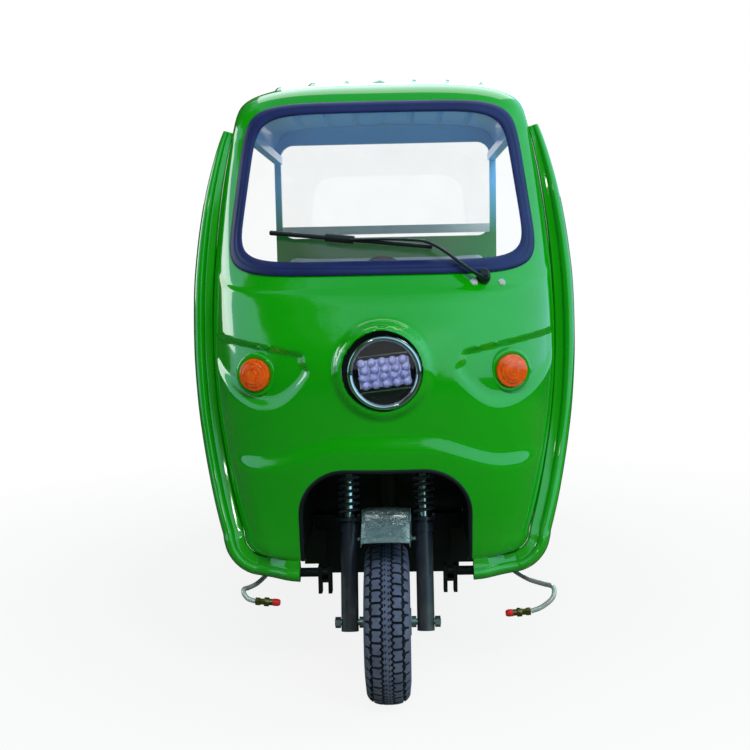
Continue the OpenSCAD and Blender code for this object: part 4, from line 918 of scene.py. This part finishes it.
light = dict(rows=4, columns=5, tilt=-6, dome=11, domeZ=9.8, stepX=24.6, stepY=17.4, stagger=2.5,
             block=(0.122, 0.066, 0.008), blockZ=0.014, post=[(0, 17), (20, 17), (20, 60.9), (0, 60.9)],
             line=(0.118, 0.003, 0.004), lineY=0.042, lineZ=0.012)
lightAxis = lampAxis @ Matrix.Rotation(radians(light["tilt"]), 4, "Z")
boxShape = bmesh.new()
block(boxShape, lightAxis @ Matrix.Translation((0, 0, light["blockZ"])), light["block"], bevel=0.002)
join(boxShape, spunPiece(light["post"], 24, lampAxis))
addPiece("light_block", boxShape, ledLens, ("lamp_emitters",))
domes = bmesh.new()
for row in range(light["rows"]):
    for column in range(light["columns"]):
        x = (column - (light["columns"] - 1) / 2) * light["stepX"] + light["stagger"] * (1 if row % 2 else -1)
        y = (row - (light["rows"] - 1) / 2) * light["stepY"]
        dome = bmesh.new()
        bmesh.ops.create_uvsphere(dome, u_segments=14, v_segments=8, radius=light["dome"] / 1000)
        bmesh.ops.bisect_plane(dome, geom=[*dome.verts, *dome.edges, *dome.faces], plane_co=(0, 0, 0),
                               plane_no=(0, 0, 1), clear_outer=True)
        seat = Matrix.Translation(Vector((x, y, light["domeZ"])) / 1000)
        bmesh.ops.transform(dome, matrix=lightAxis @ seat, verts=dome.verts)
        join(domes, dome)
addPiece("light_domes", domes, ledLens, sharp=60)
lineShape = bmesh.new()
for sign in (-1, 1):
    spot = Matrix.Translation((0, sign * light["lineY"], light["lineZ"]))
    block(lineShape, lightAxis @ spot, light["line"])
addPiece("lamp_lines", lineShape, chrome)
lampPane = dict(radii=(0, 12, 24, 36, 48, 60, 68, 74), dome=4.5, front=-2.5, thick=2)
edge = lampPane["radii"][-1]
frontLine = [(r, lampPane["front"] - lampPane["dome"] * (1 - (r / edge) ** 2)) for r in lampPane["radii"]]
backLine = [(r, z + lampPane["thick"]) for r, z in reversed(frontLine)]
addPiece("lamp_pane", spunPiece(frontLine + backLine, 72, lampAxis), lampGlass)
print("headlamp done")


# turn signals and the seats moulded round them
signal = dict(x=307, z=840, turn=18, lift=12,
              seat=[(0, -20), (56, -20), (55, -2), (53.5, 7), (51, 10.6), (48, 12), (44, 12), (42, 10.5),
                    (0, 10.5)],
              lens=[(0, 0), (40, 0), (40, 5.4), (38.8, 8), (36.4, 9.2), (31, 9.8), (29.8, 12), (28, 13),
                    (23.6, 13.6), (22.4, 15.4), (20, 16), (12.6, 16.2), (11.4, 16.9), (6, 17), (0, 17)])
seatShape = bmesh.new()
lensShape = bmesh.new()
for sign in (-1, 1):
    axis = (Matrix.Translation(onShell(sign * signal["x"], signal["z"]))
            @ Matrix.Rotation(radians(sign * signal["turn"]), 4, "Z") @ Matrix.Rotation(radians(90), 4, "X"))
    join(seatShape, spunPiece(signal["seat"], 64, axis))
    join(lensShape, spunPiece([(r, h + signal["lift"]) for r, h in signal["lens"]], 64, axis))
addPiece("signal_seats", seatShape, gelGreen, sharp=50)
addPiece("signal_lenses", lensShape, amberLens, ("turn_signals",), sharp=28)
print("signals done")


# wiper, its places as x, z and lift from the front
wiper = dict(pivot=(250, 1064, 4), pivotTurn=60, studs=[(225, 1053), (295, 1051)],
             foot=[(0, 0), (17, 0), (17, 9), (14, 13), (13, 24), (9, 28), (0, 28)],
             arm=[(250, 1064, 24), (215, 1085, 31), (130, 1146, 31), (60, 1160, 34), (-75, 1163, 27)],
             blade=(-275, 1185), steps=41, stepX=10, stepZ=-1.095, bracket=slice(14, 22))


def bladeRun(lift):
    x, z = wiper["blade"]
    return [onShell(x + wiper["stepX"] * k, z + wiper["stepZ"] * k, lift) for k in range(wiper["steps"])]


wiperShape = bmesh.new()
pivotAxis = (Matrix.Translation(onShell(*wiper["pivot"]))
             @ Matrix.Rotation(radians(wiper["pivotTurn"]), 4, "X"))
join(wiperShape, spunPiece(wiper["foot"], 32, pivotAxis))
armPath = smoothPath([onShell(*spot) for spot in wiper["arm"]], 8)
tube(wiperShape, armPath, lambda u: 0.0085 - 0.0038 * u, 12, flat=0.6)
tube(wiperShape, bladeRun(17), lambda u: 0.0088 - 0.0016 * u, 12, flat=0.7)
tube(wiperShape, bladeRun(17)[wiper["bracket"]], 0.0112, 12, flat=0.9)
tube(wiperShape, bladeRun(10.5), 0.0022, 8, flat=1.4)
addPiece("wiper_arm", wiperShape, wiperBlack, ("wiper",))
studShape = bmesh.new()
for x, z in wiper["studs"]:
    bolt(studShape, onShell(x, z, 0.5), onShell(x, z, 20) - onShell(x, z, 0), 11, 4)
addPiece("wiper_studs", studShape, studPale)
print("wiper done")


# spray pipes, with their nozzles turned to the middle
spray = dict(radius=0.006, turn=94, gap=0.0007,
             runs=[[(-292, 300, 352), (-312, 264, 304), (-335, 215, 286), (-352, 160, 289), (-359, 120, 297),
                    (-357, 99, 293), (-346, 92, 281), (-328, 90, 275)],
                   [(292, 300, 352), (322, 264, 304), (360, 215, 287), (394, 160, 289), (412, 121, 294),
                    (414, 100, 286), (406, 92, 270), (381, 90, 251), (355, 90, 241)]],
             nut=[(0, 0), (9, 0), (10, 1), (10, 11), (9, 12), (8, 12.4), (8, 22), (7.6, 22.2)],
             ring=[(7.6, 22), (10.4, 22), (11, 23), (11, 33), (10.4, 34), (8, 34.4), (8, 44), (0, 44)],
             tip=[(0, 44), (8.4, 44), (9, 44.8), (9, 55), (8, 59), (5.5, 62), (2, 62), (1.6, 59), (0, 59)])
pipeShape = bmesh.new()
fitShape = bmesh.new()
tipShape = bmesh.new()
for run in spray["runs"]:
    points = [Vector((x, shell["noseY"] + y, z)) / 1000 for x, y, z in run]
    tube(pipeShape, smoothPath(points, 8), spray["radius"], 16, side=Vector((0.2, 0.3, 1)))
    inwards = spray["turn"] if run[0][0] < 0 else -spray["turn"]
    nozzle = (Matrix.Translation(points[-1]) @ Matrix.Rotation(radians(inwards), 4, "Y")
              @ Matrix.Translation((0, 0, spray["gap"])))
    join(fitShape, spunPiece(spray["nut"], 6, nozzle))
    join(fitShape, spunPiece(spray["ring"], 28, nozzle))
    join(tipShape, spunPiece(spray["tip"], 28, nozzle))
addPiece("spray_runs", pipeShape, pipeSteel, ("spray_pipes",))
addPiece("nozzle_fittings", fitShape, brass, ("spray_fittings",))
addPiece("nozzle_tips", tipShape, tipRed, ("spray_tips",))
print("spray pipes done")


# seat cushions, puffed by a short cloth run
cushion = dict(shrink=Vector((0.985, 0.95, 0.9)), voxel=0.007, pressure=4, frames=20)


def puffed(node, name, cap):
    mesh = cadNodes[node].data.copy()
    work = bpy.data.objects.new(name, mesh)
    scene.collection.objects.link(work)
    shape = bmesh.new()
    shape.from_mesh(mesh)
    bmesh.ops.remove_doubles(shape, verts=shape.verts, dist=1e-5)
    middle = sum((v.co for v in shape.verts), Vector()) / len(shape.verts)
    low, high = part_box(node)
    for v in shape.verts:
        v.co = middle + (v.co - middle) * cushion["shrink"]
    shape.to_mesh(mesh)
    shape.free()
    step = work.modifiers.new("remesh", "REMESH")
    step.mode = "VOXEL"
    step.voxel_size = cushion["voxel"]
    graph = bpy.context.evaluated_depsgraph_get()
    dense = bpy.data.meshes.new_from_object(work.evaluated_get(graph))
    work.modifiers.clear()
    work.data = dense
    start = [v.co.copy() for v in dense.vertices]
    cloth = work.modifiers.new("puff", "CLOTH")
    cloth.settings.use_pressure = True
    cloth.settings.uniform_pressure_force = cushion["pressure"]
    cloth.settings.effector_weights.gravity = 0
    for number in range(1, cushion["frames"] + 1):
        scene.frame_set(number)
    graph = bpy.context.evaluated_depsgraph_get()
    puff = bpy.data.meshes.new_from_object(work.evaluated_get(graph))
    work.modifiers.clear()
    work.data = puff
    scene.frame_set(1)
    for v, home in zip(puff.vertices, start):
        move = v.co - home
        if move.length > cap:
            v.co = home + move * (cap / move.length)
        v.co = Vector(min(most, max(least, c)) for least, c, most in zip(low, v.co, high))
    final = bmesh.new()
    final.from_mesh(work.data)
    bmesh.ops.smooth_vert(final, verts=final.verts, factor=0.5, use_axis_x=True, use_axis_y=True,
                          use_axis_z=True)
    bpy.data.objects.remove(work)
    addPiece(name, final, vinylGrey, (node,), sharp=80)


puffed("seat_cushion", "seat_pad", 0.012)
puffed("seat_back", "back_pad", 0.010)
print("seat done")


# window sill behind the seat
sill = dict(place=(0, -0.0412, 1.222), size=(0.724, 0.004, 0.03), bevel=0.0012)
sillShape = bmesh.new()
block(sillShape, Matrix.Translation(sill["place"]), sill["size"], sill["bevel"])
addPiece("window_sill", sillShape, sillGrey)


# black strips that close the gaps round the splash plate: painted shade, dark sheets where the wheel arch
# lies in shadow
def prism(shape, outline, depth):
    ring = [shape.verts.new(point) for point in outline]
    back = [shape.verts.new(Vector(point) + Vector(depth)) for point in outline]
    made = [shape.faces.new(ring), shape.faces.new(back[::-1])]
    for k in range(len(ring)):
        made.append(shape.faces.new((ring[k], back[k], back[k - 1], ring[k - 1])))
    bmesh.ops.recalc_face_normals(shape, faces=made)


archShadeStrip = dict(x=0.2134, seam=(0.204, -0.9645, 0.659), low=(-0.7765, 0.374), high=(-0.8135, 0.43),
                 off=(-0.0006, 0.0008), thick=0.003, y=-0.8585, side=(0.177, 0.199, 0.239),
                 steps=(0.222, 0.258, 0.356))


def slantStrip(shape, nearX, farX, first, second):
    (y1, z1), (y2, z2), thick = first, second, archShadeStrip["thick"]
    outline = [(nearX, y, z) for y, z in ((y1, z1), (y2, z2), (y2 - thick, z2), (y1 - thick, z1))]
    prism(shape, outline, (farX - nearX, 0, 0))


stripShape = bmesh.new()
slantStrip(stripShape, -archShadeStrip["x"], archShadeStrip["x"], archShadeStrip["low"], archShadeStrip["high"])
seamX, *seamTop = archShadeStrip["seam"]
seamFoot = Vector(archShadeStrip["high"]) + Vector(archShadeStrip["off"])
near, step, far = archShadeStrip["side"]
bottom, ledge, top = archShadeStrip["steps"]
for sign in (-1, 1):
    slantStrip(stripShape, sign * seamX, sign * archShadeStrip["x"], seamFoot, seamTop)
    flap = ((near, bottom), (step, bottom), (step, ledge), (far, ledge), (far, top), (near, top))
    prism(stripShape, [(sign * x, archShadeStrip["y"], z) for x, z in flap], (0, archShadeStrip["thick"], 0))
addPiece("arch_shade_strips", stripShape, hangerBlack)


# bolts on the hopper's ribs
hopperRib = dict(x=0.4952, first=0.051, step=0.3075, count=5, heights=(0.5, 0.93))
ribBolts = bmesh.new()
for sign in (-1, 1):
    for k in range(hopperRib["count"]):
        for z in hopperRib["heights"]:
            spot = Vector((sign * hopperRib["x"], hopperRib["first"] + k * hopperRib["step"], z))
            bolt(ribBolts, spot, (sign, 0, 0), 12, 5)
addPiece("rib_bolts", ribBolts, boltZinc, body="hopper")
print("strips and bolts done")


# floor, backdrop and lights
ground = dict(half=14, tone=(0.42, 0.4, 0.39, 1), mirrored=(0.06, 0.09, 0.05, 1), near=0.9, far=2.6,
              glow=0.86)
floorShape = bmesh.new()
bmesh.ops.create_grid(floorShape, x_segments=1, y_segments=1, size=ground["half"])
floorMesh = bpy.data.meshes.new("studioFloor")
floorShape.to_mesh(floorMesh)
floorShape.free()
floorPiece = bpy.data.objects.new("studioFloor", floorMesh)
scene.collection.objects.link(floorPiece)
floorMaterial = bpy.data.materials.new("paleFloor")
floorMaterial.use_nodes = True
tree = floorMaterial.node_tree
tree.nodes.clear()
path = tree.nodes.new("ShaderNodeLightPath")
distance = put(tree, "ShaderNodeVectorMath", {0: ownCoord(tree)}, operation="LENGTH").outputs["Value"]
away = remap(tree, distance, ground["near"], ground["far"], ground["glow"], 1.0)
body = mixColour(tree, path.outputs["Is Glossy Ray"], ground["tone"], ground["mirrored"])
pale = put(tree, "ShaderNodeBsdfDiffuse", {"Color": body})
glow = put(tree, "ShaderNodeEmission", {"Color": (1, 1, 1, 1), "Strength": 1.0})
seen = maths(tree, "MULTIPLY", path.outputs["Is Camera Ray"], away)
showBlend(tree, tree.nodes.new("ShaderNodeOutputMaterial"), seen, pale, glow)
floorMesh.materials.append(floorMaterial)
floorPiece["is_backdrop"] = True

# a dark line of trees under a teal sky, white where the camera looks through
skyLine = dict(leaves=5.0, spread=0.55, slant=0.8, flankFrom=0.72, flankRise=5.0, low=-0.86, high=1.14,
               overhead=(0.66, 0.96, 1.05, 0.3),
               ramp=[(0.5, (0.03, 0.05, 0.03, 1)), (0.62, (0.1, 0.17, 0.1, 1)), (0.68, (0.52, 0.98, 1.06, 1)),
                     (1.0, (0.5, 1.02, 1.24, 1))])
sky = bpy.data.worlds.new("softSky")
scene.world = sky
sky.use_nodes = True
tree = sky.node_tree
tree.nodes.clear()
path = tree.nodes.new("ShaderNodeLightPath")
look = tree.nodes.new("ShaderNodeTexCoord").outputs["Generated"]
ways = put(tree, "ShaderNodeSeparateXYZ", {0: look}).outputs
leaves = maths(tree, "SUBTRACT", cloud(tree, look, skyLine["leaves"], 4.0, 0.6), 0.5)
flank = maths(tree, "SUBTRACT", maths(tree, "ABSOLUTE", ways["X"]), skyLine["flankFrom"])
lift = ways["Z"]
for value, share in ((ways["X"], skyLine["slant"]), (leaves, skyLine["spread"]),
                     (maths(tree, "MAXIMUM", flank, 0.0), skyLine["flankRise"])):
    lift = maths(tree, "MULTIPLY_ADD", value, share, lift)
ramp = put(tree, "ShaderNodeValToRGB", {"Fac": remap(tree, lift, skyLine["low"], skyLine["high"])})
steps = ramp.color_ramp.elements
for k, (spot, colour) in enumerate(skyLine["ramp"]):
    step = steps[k] if k < 2 else steps.new(spot)
    step.position = spot
    step.color = colour
overhead = remap(tree, ways["Z"], *skyLine["overhead"])
soft = put(tree, "ShaderNodeBackground", {"Color": ramp.outputs["Color"], "Strength": overhead})
white = put(tree, "ShaderNodeBackground", {"Color": (1, 1, 1, 1), "Strength": 1.0})
plain = maths(tree, "MAXIMUM", path.outputs["Is Camera Ray"], path.outputs["Is Transmission Ray"])
showBlend(tree, tree.nodes.new("ShaderNodeOutputWorld"), plain, soft, white)


def panel(name, place, target, size, power, colour=(1, 1, 1), mirrored=True):
    data = bpy.data.lights.new(name, "AREA")
    data.shape = "RECTANGLE"
    data.size, data.size_y = size
    data.energy = power
    data.color = colour
    lightPiece = bpy.data.objects.new(name, data)
    scene.collection.objects.link(lightPiece)
    lightPiece.visible_glossy = mirrored
    lightPiece.visible_transmission = mirrored
    aim = (Vector(target) - Vector(place)).to_track_quat("-Z", "Y").to_matrix().to_4x4()
    lightPiece.matrix_world = Matrix.Translation(place) @ aim


panel("topPanel", (0.2, 1.6, 5.2), (0, 0.4, 0.8), (4.6, 3.4), 70)
panel("frontPanel", (0.9, -5.0, 4.0), (0, -1.0, 0.9), (3.2, 1.4), 205, mirrored=False)
panel("sparkPanel", (-1.3, -6.2, 3.4), (0, -1.2, 0.9), (0.5, 0.3), 9)
panel("leftPanel", (-4.6, 0.4, 2.4), (-0.3, -0.6, 0.9), (1.6, 2.4), 36)
panel("rightPanel", (4.6, -0.2, 2.2), (0.3, -0.9, 0.9), (1.6, 2.4), 90, (1.0, 0.97, 0.82), mirrored=False)
panel("backPanel", (0.5, 4.6, 3.2), (0, 0.8, 0.8), (3.0, 2.0), 120)
print("studio done")

low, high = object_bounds()
